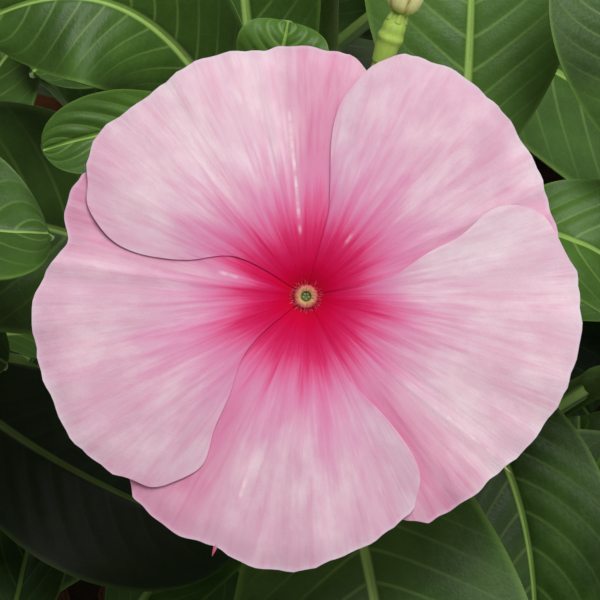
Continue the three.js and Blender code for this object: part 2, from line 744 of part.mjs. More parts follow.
// The middle stem, its branch, the facing bloom and the young bud.
function makeCentre() {
  const foot = new THREE.Vector3(CENTRE_ROOT[0], CENTRE_ROOT[1], STEM_SURFACE);
  const path = new THREE.CubicBezierCurve3(foot, ...pointsOf(CENTRE_BENDS));
  const fork = path.getPoint(BRANCH_FROM);
  const branch = new THREE.QuadraticBezierCurve3(fork, ...pointsOf(BRANCH_BENDS));
  const bloomSeat = BLOOM_CENTRE.clone().addScaledVector(TO_VIEWER, -BLOOM_TUBE_LENGTH - SEAT_GAP);
  const budSeat = besideBloom(BUD_SEAT);
  const budAxis = besideBloom(BUD_AXIS.with(2, -BUD_AXIS[2])).sub(BLOOM_CENTRE).normalize();
  const leaves = [
    ...seenLeaves(path, CENTRE_LEAVES),
    ...seenLeaves(branch, BRANCH_LEAVES),
    ...pairedLeaves(path, CENTRE_SEED, CENTRE_PAIRS, CENTRE_PAIRS_TOP),
  ];
  const green = joined([
    rootedStem(CENTRE_ROOT, path),
    taperedSolid(branch.getPoints(BRANCH_RINGS), BRANCH_FOOT_RADIUS),
    ...leaves.map(leafSolid),
    pedicelSolid(path.getPoint(BLOOM_STALK_FROM), bloomSeat, TO_VIEWER, CALYX),
    ...calyxSolids(bloomSeat, TO_VIEWER, CALYX),
    pedicelSolid(branch.getPoint(BUD_STALK_FROM), budSeat, budAxis, YOUNG_CALYX),
    ...calyxSolids(budSeat, budAxis, YOUNG_CALYX),
  ]);
  return [
    namedMesh("stem_centre", green, leafGreen),
    ...placedBloom("centre", bloomSeat, TO_VIEWER, TO_RIGHT, 1, FINE_PETAL),
    placedBud("centre", budSeat, budAxis, YOUNG_BUD),
  ];
}

// A stem round the middle one, with a bloom or a bud beside its tip.
function makeStem(stem) {
  const path = leaningPath(stem.root, stem.tip);
  const leaves = [
    ...seenLeaves(path, stem.seen),
    ...pairedLeaves(path, stem.seed, stem.pairs, HIGHEST_PAIR).filter(
      (_, index) => !stem.missing.includes(index),
    ),
  ];
  const { kind, azimuth, tilt, size } = stem.flower;
  const axis = heading(azimuth, 90 - tilt);
  const stalkFoot = path.getPoint(STALK_FROM);
  const seat = stalkFoot.clone().addScaledVector(heading(azimuth, STALK_PITCH), STALK_LENGTH);
  const green = joined([
    rootedStem(stem.root, path),
    ...leaves.map(leafSolid),
    pedicelSolid(stalkFoot, seat, axis, CALYX),
    ...calyxSolids(seat, axis, CALYX),
  ]);
  const right = heading(BLOOM_TURN * stem.seed, 0);
  const flower =
    kind === "bloom"
      ? placedBloom(stem.name, seat, axis, right, size, PLAIN_PETAL)
      : [placedBud(stem.name, seat, axis, FURLED_BUD)];
  return [namedMesh(`stem_${stem.name}`, green, leafGreen), ...flower];
}

const plant = new THREE.Group();
plant.add(makePot());
plant.add(makeSoil([CENTRE_ROOT, ...STEMS.map((stem) => stem.root)]));
plant.add(...makeCentre());
for (const stem of STEMS) plant.add(...makeStem(stem));

export default plant;
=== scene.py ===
"""A Madagascar periwinkle in flower, in a plain terracotta pot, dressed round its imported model.

Sizes are worked out in millimetres in the model's own frame: +Z up, origin under the middle of the pot, and
-Y towards the viewer. Every leaf, petal, stem and bud follows the same rules as its plain solid, on a finer
grid.
"""
import math

import bpy
import numpy as np
from bpy.props import FloatProperty, FloatVectorProperty, IntProperty, PointerProperty
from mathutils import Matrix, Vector, noise


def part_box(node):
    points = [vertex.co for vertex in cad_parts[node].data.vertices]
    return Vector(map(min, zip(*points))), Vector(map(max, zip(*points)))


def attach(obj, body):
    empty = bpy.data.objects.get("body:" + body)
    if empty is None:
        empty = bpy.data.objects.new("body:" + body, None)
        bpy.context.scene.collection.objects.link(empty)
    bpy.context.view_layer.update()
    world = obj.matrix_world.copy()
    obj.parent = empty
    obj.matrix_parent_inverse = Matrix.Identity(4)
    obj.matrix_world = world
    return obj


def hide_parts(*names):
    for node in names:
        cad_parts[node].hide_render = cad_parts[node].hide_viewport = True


bl_info = {
    "name": "Potted Madagascar Periwinkle",
    "version": (1, 0, 0),
    "blender": (4, 5, 0),
    "location": "3D View > Sidebar > Periwinkle",
    "description": "Builds a Madagascar periwinkle in flower in a plain terracotta pot",
    "category": "Add Mesh",
}

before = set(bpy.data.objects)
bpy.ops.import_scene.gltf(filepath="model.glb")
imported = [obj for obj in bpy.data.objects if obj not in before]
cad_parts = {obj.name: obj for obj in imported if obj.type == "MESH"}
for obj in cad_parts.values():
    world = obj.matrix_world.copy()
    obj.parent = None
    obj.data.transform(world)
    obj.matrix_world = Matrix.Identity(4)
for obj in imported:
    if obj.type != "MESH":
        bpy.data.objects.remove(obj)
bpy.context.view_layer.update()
POT_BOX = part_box("pot")
MM = 0.001


def linear(hex_colour):
    """The linear red, green and blue of an sRGB hex colour."""
    parts = [int(hex_colour[place : place + 2], 16) / 255 for place in (1, 3, 5)]
    return tuple(part / 12.92 if part <= 0.04045 else ((part + 0.055) / 1.055) ** 2.4 for part in parts)


# Pot and soil
POT_HEIGHT = round(POT_BOX[1].z / MM, 2)
POT_BEVEL = 1.5
POT_SIDES = 144
RIM_HEIGHT = 23
RIM_STEP = 3
POT_FLOOR = 7
DRAIN_COUNT = 3
DRAIN_SIDES = 32
DRAIN_RADIUS = 4.5
DRAIN_FROM_CENTRE = 24
SOIL_DROP = 12
SOIL_TOP = POT_HEIGHT - SOIL_DROP
SOIL_CROWN = 2
SOIL_LUMP = 0.9
SOIL_SIDES = 180
SOIL_RINGS = 70
SEAT_GAP = 0.3
HOLE_DEPTH = 20

# Where a rounded lump's ends are cut off blunt, as a share of its half length
BLUNT_END = 0.97

# The place of each material among those of its piece: the soil's, the leafy stems' and the blooms'
PEAT, BARK, PERLITE = range(3)
BLADE, STEM, YOUNG_SKIN = range(3)
PETAL, TUBE, HAIR = range(3)

# Crumbs on the soil: the middle and spread of each kind's size, its width and height against that, and its
# material
PEAT_CRUMB = {"size": (1.1, 0.6), "wide": 0.85, "high": 0.7, "slot": PEAT}
BARK_CHIP = {"size": (2.6, 1.2), "wide": 0.55, "high": 0.28, "slot": BARK}
PERLITE_GRAIN = {"size": (1.5, 0.5), "wide": 0.85, "high": 0.7, "slot": PERLITE}
CHIP_EVERY = 5
CRUMB_RINGS = 6
CRUMB_SIDES = 8
CRUMB_ROUGHNESS = 0.22
CRUMB_SUNK = 0.4
CRUMB_REACH = 0.96
CRUMB_TILT = 0.7
SOIL_SEED = 4021

# The bloom that faces the viewer, and the directions seen from there
FACING_ELEVATION = math.radians(66)
BLOOM_CENTRE = np.array([0, -36, 240.0])
TO_RIGHT = np.array([1.0, 0, 0])
TO_TOP = np.array([0, math.sin(FACING_ELEVATION), math.cos(FACING_ELEVATION)])
TO_VIEWER = np.array([0, -math.cos(FACING_ELEVATION), math.sin(FACING_ELEVATION)])
UP = np.array([0, 0, 1.0])

# Camera: its distance, the width that it sees at the bloom, and the picture's middle from the bloom's centre
CAMERA_DISTANCE = 350
SEEN_WIDTH = 56.6
PICTURE_MIDDLE = (-0.57, -0.33)
SENSOR_WIDTH = 36

# Stage, in metres: how far the floor reaches, where the lamps stand, how wide they are and where they point
FLOOR_REACH = 12
KEY_LAMP = {"place": (0.3, 0.3, 1.6), "size": 0.9}
FILL_LAMP = {"place": (1.1, -0.7, 1.0), "size": 1.2}
LAMP_TARGET = (0, 0, 0.18)
WORLD_COLOUR = (1, 0.98, 0.95)
WORLD_STRENGTH = 0.2

# Bloom: the outline of a petal is given in degrees from its crease, positive counter-clockwise. A flush is
# how far out its deep pink reaches at such angles, in mm; on two petals it reaches further on the side tucked
# under the neighbour's edge, partly as painted shade. A streak is a pale line at an angle, from and to mm. A
# thread is a small point that grows out of the rim. Two petals are made lighter all over, as painted light,
# and two are more pink at their over edge, as painted shade where that edge curls down.
THROAT_RADIUS = 0.8
THROAT_DEPTH = 0.62
THROAT_REACH = 2.0
BLOOM_TUBE_LENGTH = 26
BLOOM_TUBE = [
    (0.75, -26), (0.95, -20), (1.15, -13), (1.3, -8), (1.45, -4.5), (1.15, -2.4), (1.6, -1.3), (1.2, -1.05),
]
TUBE_RINGS = 60
TUBE_SIDES = 24
PETAL_TILT = 0.7
PETAL_TILT_ANGLE = 60
PETAL_LIFT_FROM = 0.04
PETAL_LIFT_TO = 0.6
PETAL_DISH = 0.9
PETAL_DISH_PLACE = 0.8
RIM_DROOP = 0.3
RIM_DROOP_FROM = 0.86
SIDE_DROOP_FROM = 0.45
CREASE_DEPTH = 0.16
CREASE_HALF_WIDTH = 1.6
RIDGE_SHARE = 0.6
RIDGE_AT = 3.2
RIDGE_HALF_WIDTH = 2.4
UNDER_TUCK = 0.22
SCALLOP_DEPTH = 0.07
SIDE_THINNING = 0.7
THREAD_DROOP = 0.2
RIM_ANGLES = [-36, -24, -12, -5, 0, 9, 18, 30, 40, 52]
SIDE_STEPS = [0, 0.15, 0.3, 0.45, 0.6, 0.75, 0.87, 0.95, 1]
UNDER_SIDE = [-35, -35, -34, -34, -33, -32, -29.5, -26, -21]
FLUSH_ANGLES = [-35, -16, -8, 0, 15, 30, 45, 60]
PETALS = [
    {
        "apex": 24.7,
        "droop": 0.6,
        "rim": [24.0, 24.3, 24.4, 24.5, 24.8, 25.1, 25.4, 25.5, 25.0, 23.8],
        "over_side": [50, 50, 50, 53.5, 56, 55.5, 52, 48.5, 43],
        "under_side": [-20, -21, -23, -28, -31, -32, -29.5, -26, -21],
        "flush": [5.5, 6.0, 6.6, 7.0, 7.0, 7.1, 7.1, 7.6],
        "streak": (28.8, 5.6, 7.6),
    },
    {
        "apex": 100.8,
        "droop": 0.6,
        "rim": [22.8, 23.2, 23.5, 23.8, 23.6, 24.4, 24.4, 24.1, 24.9, 23.8],
        "over_side": [46, 46, 50, 61, 64.5, 64, 60, 55, 48],
        "flush": [8.7, 7.8, 6.9, 7.0, 6.9, 7.3, 7.2, 7.4],
        "paler": 0.38,
        "pinker": 0.3,
        "streak": (-5.6, 5.6, 17.9),
    },
    {
        "apex": 172.6,
        "droop": 0.5,
        "rim": [23.8, 24.1, 24.2, 23.1, 24.3, 25.8, 26.0, 25.9, 25.8, 24.4],
        "over_side": [47, 46.5, 50.5, 59, 62.5, 65.8, 62, 58, 50],
        "flush": [8.2, 8.0, 5.1, 7.0, 6.7, 7.8, 6.7, 6.6],
        "pinker": 0.2,
        "streak": (-8.3, 6.2, 8.8),
    },
    {
        "apex": 250.1,
        "droop": 0.28,
        "rim": [24.2, 24.7, 25.5, 25.3, 25.2, 26.0, 25.9, 24.5, 23.4, 21.5],
        "over_side": [46, 45.5, 44.5, 49.5, 53, 54, 53.5, 51.4, 47],
        "flush": [7.3, 7.0, 7.1, 6.8, 6.9, 7.4, 6.5, 6.4],
        "streak": (1.5, 16, 21),
        "thread": {"reach": 0.9, "radius": 0.25, "slot": HAIR},
    },
    {
        "apex": 319.3,
        "droop": 0.45,
        "rim": [23.8, 24.1, 24.5, 24.5, 24.8, 25.4, 25.9, 26.2, 25.9, 25.2],
        "over_side": [50, 50, 53.5, 60, 62, 65.7, 63.5, 57.5, 46],
        "flush": [6.9, 6.8, 6.4, 6.8, 6.6, 7.6, 5.5, 5.7],
        "paler": 0.28,
        "streak": (0.4, 15.2, 24.2),
        "thread": {"reach": 0.8, "radius": 0.11, "slot": TUBE},
    },
]
FINE_PETAL = (81, 61)
PLAIN_PETAL = (41, 31)

# The eye ring at the throat, as radius and height, and the hairs on it and round it. Each kind of hair has
# the middle and spread of where it starts and of its length, how far its turn and its direction stray, and
# its radii. Hairs round the throat have a pitch, and those on the ring lie along it and rise a little.
EYE_RADIUS = 1.15
EYE_OPENING = 0.45
EYE_RING = [
    (EYE_OPENING, -0.45), (0.8, -0.5), (1.05, -0.42), (EYE_RADIUS, -0.22), (1.05, -0.06), (0.85, 0.02),
    (0.62, 0.0), (EYE_OPENING, -0.14), (0.42, -0.3),
]
EYE_STEPS = 36
EYE_SIDES = 60
EYE_CREST = 0.95
EYE_BEADS = 17
BEAD_HEIGHT = 0.04
EYE_HAIRS = 110
EYE_SEED = 311
EYE_HAIR = {
    "start": (0.85, 0.32), "length": (0.3, 0.1), "stray": (4, 5), "sunk": 0.02, "rise": 0.16,
    "radii": [0.03, 0.026, 0.02, 0.008],
}
LOBE_COUNT = 5
LOBE_TURN = 54
LOBE_RINGS = 9
LOBE_SIDES = 10
LOBE_FROM_CENTRE = 0.27
LOBE_DEPTH = 0.34
LOBE_RADIUS = 0.15
LOBE_HALF_LENGTH = 0.16
LOBE_COLOUR_FROM = 0.24
THROAT_HAIRS = 44
THROAT_SEED = 77
THROAT_HAIR = {
    "start": (1.25, 0.12), "length": (0.4, 0.15), "pitch": (40, 15), "stray": (3, 16),
    "radii": [0.026, 0.022, 0.016, 0.007],
}
HAIR_STEPS = 4
HAIR_SIDES = 4

# Buds, as radius and height: a plump young one, and a longer one furled above its tube
YOUNG_BUD = [
    (0.6, 0), (1.2, 0.2), (1.6, 0.8), (1.85, 1.9), (1.85, 3.4), (1.6, 5), (1.2, 6.3), (0.7, 7.6), (0.1, 8.4),
]
FURLED_BUD = [
    (0.75, 0), (0.85, 3.5), (0.95, 7), (1.55, 8.8), (2, 10.8), (1.95, 13.5), (1.5, 16.5), (0.9, 19.5),
    (0.1, 22),
]
BUD_RINGS = 60
BUD_SIDES = 50
BUD_FOLDS = 5
BUD_TWIST = 0.22
BUD_CREASE = 0.15
LEAST_RADIUS = 0.02

# Leaves
PETIOLE_SHARE = 0.12
PETIOLE_HALF_WIDTH = 0.6
MUCRO_HALF_WIDTH = 0.35
BASE_TAPER = 0.95
TIP_ROUNDING = 0.5
WIDEST_AT = BASE_TAPER / (BASE_TAPER + TIP_ROUNDING)
WIDEST = WIDEST_AT**BASE_TAPER * (1 - WIDEST_AT) ** TIP_ROUNDING
BLADE_WAVES = 1.6
VEIN_SWEEP = 2.7
VEIN_CURVE = 1.25
VEIN_SPACING = 4.1
FEWEST_VEINS = 6
VEIN_SLANT = 0.75
RIB_HALF_WIDTH = 0.5
RIB_TAPER = 0.34
RIB_LEAST_SHARE = 0.55
RIB_FULL_LENGTH = 90
CHANNEL_DEPTH = 0.25
KEEL_TIP = 0.35
KEEL_FOOT = 0.75
KEEL_SPREAD = 1.3
MARGIN_THINNING = 0.65
SEEN_LEAF = (73, 33)
PLAIN_LEAF = (41, 17)

# Leaf pairs from the lowest to the highest on a stem, then the middle and spread of each leaf's draws
LEAF_LENGTHS = [50, 60, 58, 48, 36, 22]
LEAF_PITCHES = [8, 16, 26, 36, 48, 62]
LOWEST_PAIR = 0.25
HIGHEST_PAIR = 0.985
PAIR_CLOSING = 0.85
PAIR_TURN = 90
AZIMUTH_SPREAD = 24
LENGTH_SPREAD = 4
PITCH_SPREAD = 8
LEAF_DROOP = 34
DROOP_SPREAD = 12
WIDTH_SHARE = 0.41
WIDTH_SPREAD = 0.04
ROLL_SPREAD = 16
LEAF_FOLD = 0.2
LEAF_WAVE = 0.12
WAVE_SPREAD = 0.06
CROWDING_LOSS = 0.3
CROWDING_REACH = 50

# Stems
STEM_FOOT_RADIUS = 2.3
STEM_TIP_RADIUS = 1.1
BRANCH_FOOT_RADIUS = 1.6
STEM_SURFACE = SOIL_TOP + 4
LOW_RISE = 0.45
HIGH_DROP = 0.4
HIGH_LEAN = 0.3
STEM_RINGS = 90
STEM_SIDES = 14
BRANCH_RINGS = 30
NODE_SWELL = 0.16
NODE_LENGTH = 0.012

# Flower stalks and calyxes
PEDICEL_RADIUS = 0.9
PEDICEL_BEND = 0.4
PEDICEL_SUNK = 0.1
PEDICEL_RINGS = 16
PEDICEL_SIDES = 12
CALYX_RINGS = 26
CALYX_SIDES = 20
TOOTH_RINGS = 8
TOOTH_SIDES = 8
TOOTH_COUNT = 5
TOOTH_SPREAD = 0.22
TOOTH_WIDTH = 0.42
TOOTH_TIP_RADIUS = 0.05
TOOTH_FOOT = -0.6
CALYX = {
    "height": 2.4,
    "tooth": 3.2,
    "outline": [(-2.4, 0.85), (-1.9, 1.05), (-1.2, 1.35), (0, 1.4), (0.3, 0.9)],
}
YOUNG_CALYX = {
    "height": 5,
    "tooth": 0.5,
    "outline": [
        (-5, 1), (-3.8, 1.14), (-2.9, 1.2), (-2.4, 1.34), (-1.9, 1.18), (-1.2, 1.16), (-0.3, 0.9), (0.3, 0.7),
    ],
}
STALK_FROM = 0.9
STALK_LENGTH = 8
STALK_PITCH = 35
BLOOM_TURN = 47

# The middle stem carries the facing bloom, and a branch of it the young bud. A leaf near them has its
# place on the stem, then a middle point and a tip as the viewer sees them: right, up and behind the bloom.
# How dark each such leaf is drawn is partly its age and partly painted shade, where it lies deep in the
# plant.
CENTRE_ROOT = (2, -14)
CENTRE_BENDS = [(2, -20, 150), (-2, -30, 200), (-4, -13.5, 234)]
BRANCH_FROM = 0.62
BRANCH_BENDS = [(6, -27, 203), (17, -21.5, 224.6)]
CENTRE_LEAVES = [
    {"at": 0.78, "middle": (-11, 38, 7), "tip": (-32.5, 26.6, 14), "width": 17, "tint": 0.62, "wave": 0.25,
     "phase": 2},
    {"at": 0.76, "middle": (9.3, -26, 10), "tip": (9.4, -60.5, 22), "width": 32, "tint": 0.48, "fold": 0.12},
    {"at": 0.7, "middle": (-20.6, 8.2, 20), "tip": (-43.4, 10, 28), "width": 23, "tint": 0.35},
    {"at": 0.66, "middle": (-7.1, 30, 26), "tip": (-8, 56, 32), "width": 17, "tint": 0.45},
    {"at": 0.98, "middle": (-15, 17.6, 5), "tip": (-25.3, 14.1, 7), "width": 7.8, "tint": 0.95},
    {"at": 0.98, "middle": (4, 17, 8), "tip": (9, 15, 12), "width": 6, "tint": 0.6},
    {"at": 1, "middle": (-2.5, 22, 5), "tip": (-1.7, 26.5, 8), "width": 9, "tint": 1},
]
BRANCH_LEAVES = [
    {"at": 0.55, "middle": (24.5, -12, 24), "tip": (23.4, -38, 30), "width": 18, "tint": 0.1},
    {"at": 0.9, "middle": (16.8, 24, 15), "tip": (16.8, 47, 24), "width": 22, "tint": 0.93, "fold": 0.06},
    {"at": 0.96, "middle": (24.4, 9, 6), "tip": (35, 0, 17), "width": 16, "tint": 0.7, "roll": -34},
    {"at": 0.96, "middle": (11, 8, 12), "tip": (8, 8, 15), "width": 5, "tint": 0.6},
]
CENTRE_SEED = 250
CENTRE_PAIRS = 3
CENTRE_PAIRS_TOP = 0.5
BLOOM_STALK_FROM = 0.78
BUD_STALK_FROM = 0.97
BUD_SEAT = (9, 27.3, 9)
BUD_AXIS = (0.33, 0.89, -0.31)

# Every other stem: where it stands in the soil, where its tip is, its leaf pairs, the seed of their draws,
# and which leaves have dropped
STEMS = [
    {
        "name": "left",
        "root": (-22, -6),
        "tip": (-60, -20, 224),
        "pairs": 6,
        "seed": 105,
        "missing": [],
        "seen": [
            {"at": 0.97, "middle": (-43.5, 7, 3), "tip": (-25, 6.2, 10), "width": 21, "tint": 0.55,
             "roll": -50},
            # This leaf lies deep under the facing bloom: its dark green is painted shade
            {"at": 0.66, "middle": (-33.7, -17, 46), "tip": (-7.1, -26.3, 50), "width": 20, "tint": -0.5},
        ],
        "flower": {"kind": "bloom", "azimuth": 205, "tilt": 34, "size": 0.92},
    },
    {
        "name": "right",
        "root": (22, -8),
        "tip": (62, -16, 217),
        "pairs": 6,
        "seed": 146,
        "missing": [],
        "seen": [{"at": 0.93, "middle": (31.2, 12.5, 1), "tip": (27.7, 34.7, 10), "width": 14, "tint": 0.45}],
        "flower": {"kind": "bloom", "azimuth": -20, "tilt": 36, "size": 0.9},
    },
    {
        "name": "back_left",
        "root": (-17, 18),
        "tip": (-46, 42, 210),
        "pairs": 6,
        "seed": 5741,
        "missing": [],
        "seen": [],
        "flower": {"kind": "bloom", "azimuth": 130, "tilt": 32, "size": 0.86},
    },
    {
        "name": "back_right",
        "root": (18, 20),
        "tip": (48, 46, 206),
        "pairs": 6,
        "seed": 2454,
        "missing": [],
        "seen": [],
        "flower": {"kind": "bud", "azimuth": 40, "tilt": 24},
    },
    {
        "name": "back",
        "root": (2, 28),
        "tip": (3, 36, 228),
        "pairs": 6,
        "seed": 1504,
        "missing": [10],
        "seen": [],
        "flower": {"kind": "bloom", "azimuth": 80, "tilt": 26, "size": 0.94},
    },
    {
        "name": "front_left",
        "root": (-13, -30),
        "tip": (-34, -58, 172),
        "pairs": 5,
        "seed": 5230,
        "missing": [8],
        "seen": [],
        "flower": {"kind": "bud", "azimuth": 235, "tilt": 30},
    },
    {
        "name": "front_right",
        "root": (16, -30),
        "tip": (40, -60, 170),
        "pairs": 5,
        "seed": 2378,
        "missing": [2],
        "seen": [],
        "flower": {"kind": "bloom", "azimuth": -55, "tilt": 42, "size": 0.88},
    },
]


class PotSettings(bpy.types.PropertyGroup):
    """Sizes and colours of the pot."""

    height: FloatProperty(
        name="Height", description="Height of the pot", unit="LENGTH", default=POT_BOX[1].z
    )
    top_radius: FloatProperty(
        name="Top radius", description="Radius over the rim", unit="LENGTH", default=POT_BOX[1].x
    )
    base_radius: FloatProperty(
        name="Base radius", description="Radius of the pot's foot", unit="LENGTH", default=0.045
    )
    wall: FloatProperty(name="Wall", description="Thickness of the wall", unit="LENGTH", default=0.005)
    clay: FloatVectorProperty(
        name="Clay", description="Colour of the fired clay", subtype="COLOR", default=linear("#b9714f")
    )
    bloom_of_lime: FloatVectorProperty(
        name="Lime", description="Colour of the lime that dries on the clay", subtype="COLOR",
        default=linear("#e3cdbb"),
    )


class SoilSettings(bpy.types.PropertyGroup):
    """Crumbs and colours of the potting mix."""

    crumbs: IntProperty(name="Crumbs", description="How many crumbs of peat and bark lie on top", default=620)
    perlite: IntProperty(name="Perlite", description="How many white grains lie on top", default=46)
    peat: FloatVectorProperty(
        name="Peat", description="Colour of damp peat", subtype="COLOR", default=linear("#33241b")
    )
    bark: FloatVectorProperty(
        name="Bark", description="Colour of the bark chips", subtype="COLOR", default=linear("#5d4029")
    )


class LeafSettings(bpy.types.PropertyGroup):
    """Blade and colours of the leaves and stems."""

    thickness: FloatProperty(
        name="Thickness", description="Thickness of a leaf's blade", unit="LENGTH", default=0.0005
    )
    vein_relief: FloatProperty(
        name="Vein relief", description="How far the blade puffs up between its side veins", unit="LENGTH",
        default=0.00028,
    )
    deep: FloatVectorProperty(
        name="Deep green", description="Darkest colour of the upper face", subtype="COLOR",
        default=linear("#122408"),
    )
    fresh: FloatVectorProperty(
        name="Fresh green", description="Lightest colour of the upper face", subtype="COLOR",
        default=linear("#4b7027"),
    )
    vein: FloatVectorProperty(
        name="Vein", description="Colour of the rib and side veins", subtype="COLOR",
        default=linear("#97b860"),
    )
    stem: FloatVectorProperty(
        name="Stem", description="Colour of the stems", subtype="COLOR", default=linear("#6f8f3f")
    )


class BloomSettings(bpy.types.PropertyGroup):
    """Thickness and colours of the petals."""

    thickness: FloatProperty(
        name="Thickness", description="Thickness of a petal's blade", unit="LENGTH", default=0.00034
    )
    ripple: FloatProperty(
        name="Ripple", description="Height of the soft ripples near the rim", unit="LENGTH", default=0.00011
    )
    eye: FloatVectorProperty(
        name="Round the eye", description="Colour right round the throat", subtype="COLOR",
        default=linear("#c2002e"),
    )
    flush: FloatVectorProperty(
        name="Flush", description="Deep pink that spreads from the throat", subtype="COLOR",
        default=linear("#cf1a58"),
    )
    blush: FloatVectorProperty(
        name="Blush", description="Pink between the flush and the rim", subtype="COLOR",
        default=linear("#e29abd"),
    )
    pale: FloatVectorProperty(
        name="Pale pink", description="Colour of most of the petal", subtype="COLOR",
        default=linear("#e1b7ca"),
    )


class StageSettings(bpy.types.PropertyGroup):
    """Floor and light round the plant."""

    floor: FloatVectorProperty(
        name="Floor", description="Colour of the floor", subtype="COLOR", default=linear("#cfccc6")
    )
    key_power: FloatProperty(
        name="Key light", description="Power of the large lamp", unit="POWER", default=19.5
    )
    fill_power: FloatProperty(
        name="Fill light", description="Power of the second lamp", unit="POWER", default=2.5
    )


SETTINGS = {
    "periwinkle_pot": PotSettings,
    "periwinkle_soil": SoilSettings,
    "periwinkle_leaf": LeafSettings,
    "periwinkle_bloom": BloomSettings,
    "periwinkle_stage": StageSettings,
}


# Places and curves, in millimetres

def heading(azimuth, elevation):
    """The direction at an azimuth and an elevation, both in degrees."""
    turn, rise = math.radians(azimuth), math.radians(elevation)
    return np.array([math.cos(rise) * math.cos(turn), math.cos(rise) * math.sin(turn), math.sin(rise)])


def unit(vectors):
    """The vectors at a length of 1."""
    return vectors / np.linalg.norm(vectors, axis=-1, keepdims=True)


def beside_bloom(place):
    """A point given from the bloom's centre as the viewer sees it: to the right, to the top and behind."""
    right, top, behind = place
    return BLOOM_CENTRE + right * TO_RIGHT + top * TO_TOP - behind * TO_VIEWER


def bezier(corners, share):
    """Points at a share, or at many shares, of the way along a curve with these corners."""
    share = np.asarray(share, float)[..., None]
    points = [np.asarray(corner, float) for corner in corners]
    while len(points) > 1:
        points = [start + (end - start) * share for start, end in zip(points, points[1:])]
    return points[0]


def bezier_ahead(corners, share):
    """The curve's direction at each share."""
    share = np.asarray(share, float)
    return unit(bezier(corners, np.minimum(share + 1e-4, 1)) - bezier(corners, np.maximum(share - 1e-4, 0)))


def smooth_curve(xs, ys, x):
    """A smooth curve through points: cubic pieces whose slopes follow the neighbouring points."""
    xs, ys = np.asarray(xs, float), np.asarray(ys, float)
    last = len(xs) - 1
    low, high = np.maximum(np.arange(last + 1) - 1, 0), np.minimum(np.arange(last + 1) + 1, last)
    slopes = (ys[high] - ys[low]) / (xs[high] - xs[low])
    place = np.clip(x, xs[0], xs[-1])
    start = np.clip(np.searchsorted(xs, place), 1, last) - 1
    width = xs[start + 1] - xs[start]
    t = (place - xs[start]) / width
    ends = (1 + 2 * t) * (1 - t) ** 2 * ys[start] + t * t * (3 - 2 * t) * ys[start + 1]
    return ends + width * (t * (1 - t) ** 2 * slopes[start] + t * t * (t - 1) * slopes[start + 1])


def smooth_step(x, start, end):
    """0 up to the start and 1 from the end on, with a soft rise between."""
    t = np.clip((x - start) / (end - start), 0, 1)
    return t * t * (3 - 2 * t)


class Draws:
    """Even draws between 0 and 1 from a seed, by the Park and Miller rule."""

    def __init__(self, seed):
        self.state = seed
        self.next()

    def next(self):
        """The next draw."""
        self.state = (self.state * 48271) % 2147483647
        return self.state / 2147483647

    def around(self, middle, spread):
        """A draw between the middle less the spread and the middle plus it."""
        return middle + spread * (2 * self.next() - 1)


# Meshes

class Shape:
    """Points and faces of a piece while it is made. Each point has four named vectors for its material:
    place, in millimetres or degrees over the surface, share, from 0 to 1 over it, and look and tone, its own
    numbers."""

    def __init__(self):
        self.points = []
        self.faces = []
        self.slots = []
        self.values = {"place": [], "share": [], "look": [], "tone": []}
        self.count = 0

    def add(self, points, faces, slot, **values):
        """Adds points and faces of one material, with the points' named vectors."""
        points = np.asarray(points, float).reshape(-1, 3)
        for name, kept in self.values.items():
            kept.append(np.broadcast_to(np.asarray(values.get(name, (0, 0, 0)), float), points.shape))
        self.points.append(points)
        self.faces.extend([corner + self.count for corner in face] for face in faces)
        self.slots.extend([slot] * len(faces))
        self.count += len(points)

    def to_object(self, name, materials, sharp=40, moved=None):
        """Makes the object, in metres. moved changes the millimetre points first."""
        points = np.concatenate(self.points)
        if moved:
            points = moved(points)
        mesh = bpy.data.meshes.new(name)
        mesh.from_pydata((points * MM).tolist(), [], self.faces)
        for value_name, kept in self.values.items():
            attribute = mesh.attributes.new(value_name, "FLOAT_VECTOR", "POINT")
            attribute.data.foreach_set("vector", np.concatenate(kept).astype(np.float32).ravel())
        for material in materials:
            mesh.materials.append(material)
        mesh.polygons.foreach_set("material_index", self.slots)
        mesh.polygons.foreach_set("use_smooth", [True] * len(mesh.polygons))
        mesh.set_sharp_from_angle(angle=math.radians(sharp))
        piece = bpy.data.objects.new(name, mesh)
        bpy.context.scene.collection.objects.link(piece)
        return piece


def grid_faces(rows, columns, start=0, closed=False):
    """Four-cornered faces over a grid of points. A closed grid's last column joins its first."""
    index = start + np.arange(rows * columns).reshape(rows, columns)
    beside = np.roll(index, -1, axis=1) if closed else index[:, 1:]
    here = index if closed else index[:, :-1]
    corners = [here[:-1], beside[:-1], beside[1:], here[1:]]
    return np.stack([part.ravel() for part in corners], axis=1).tolist()


def closed_faces(rings, sides):
    """Faces of a body made of rings of points, with a flat face over each end."""
    first_end = list(range(sides))[::-1]
    last_end = [(rings - 1) * sides + corner for corner in range(sides)]
    return grid_faces(rings, sides, closed=True) + [first_end, last_end]


def surface_normals(grid):
    """The upward normals of a grid whose columns run to the right and whose rows run ahead."""
    return unit(np.cross(np.gradient(grid, axis=1), np.gradient(grid, axis=0)))


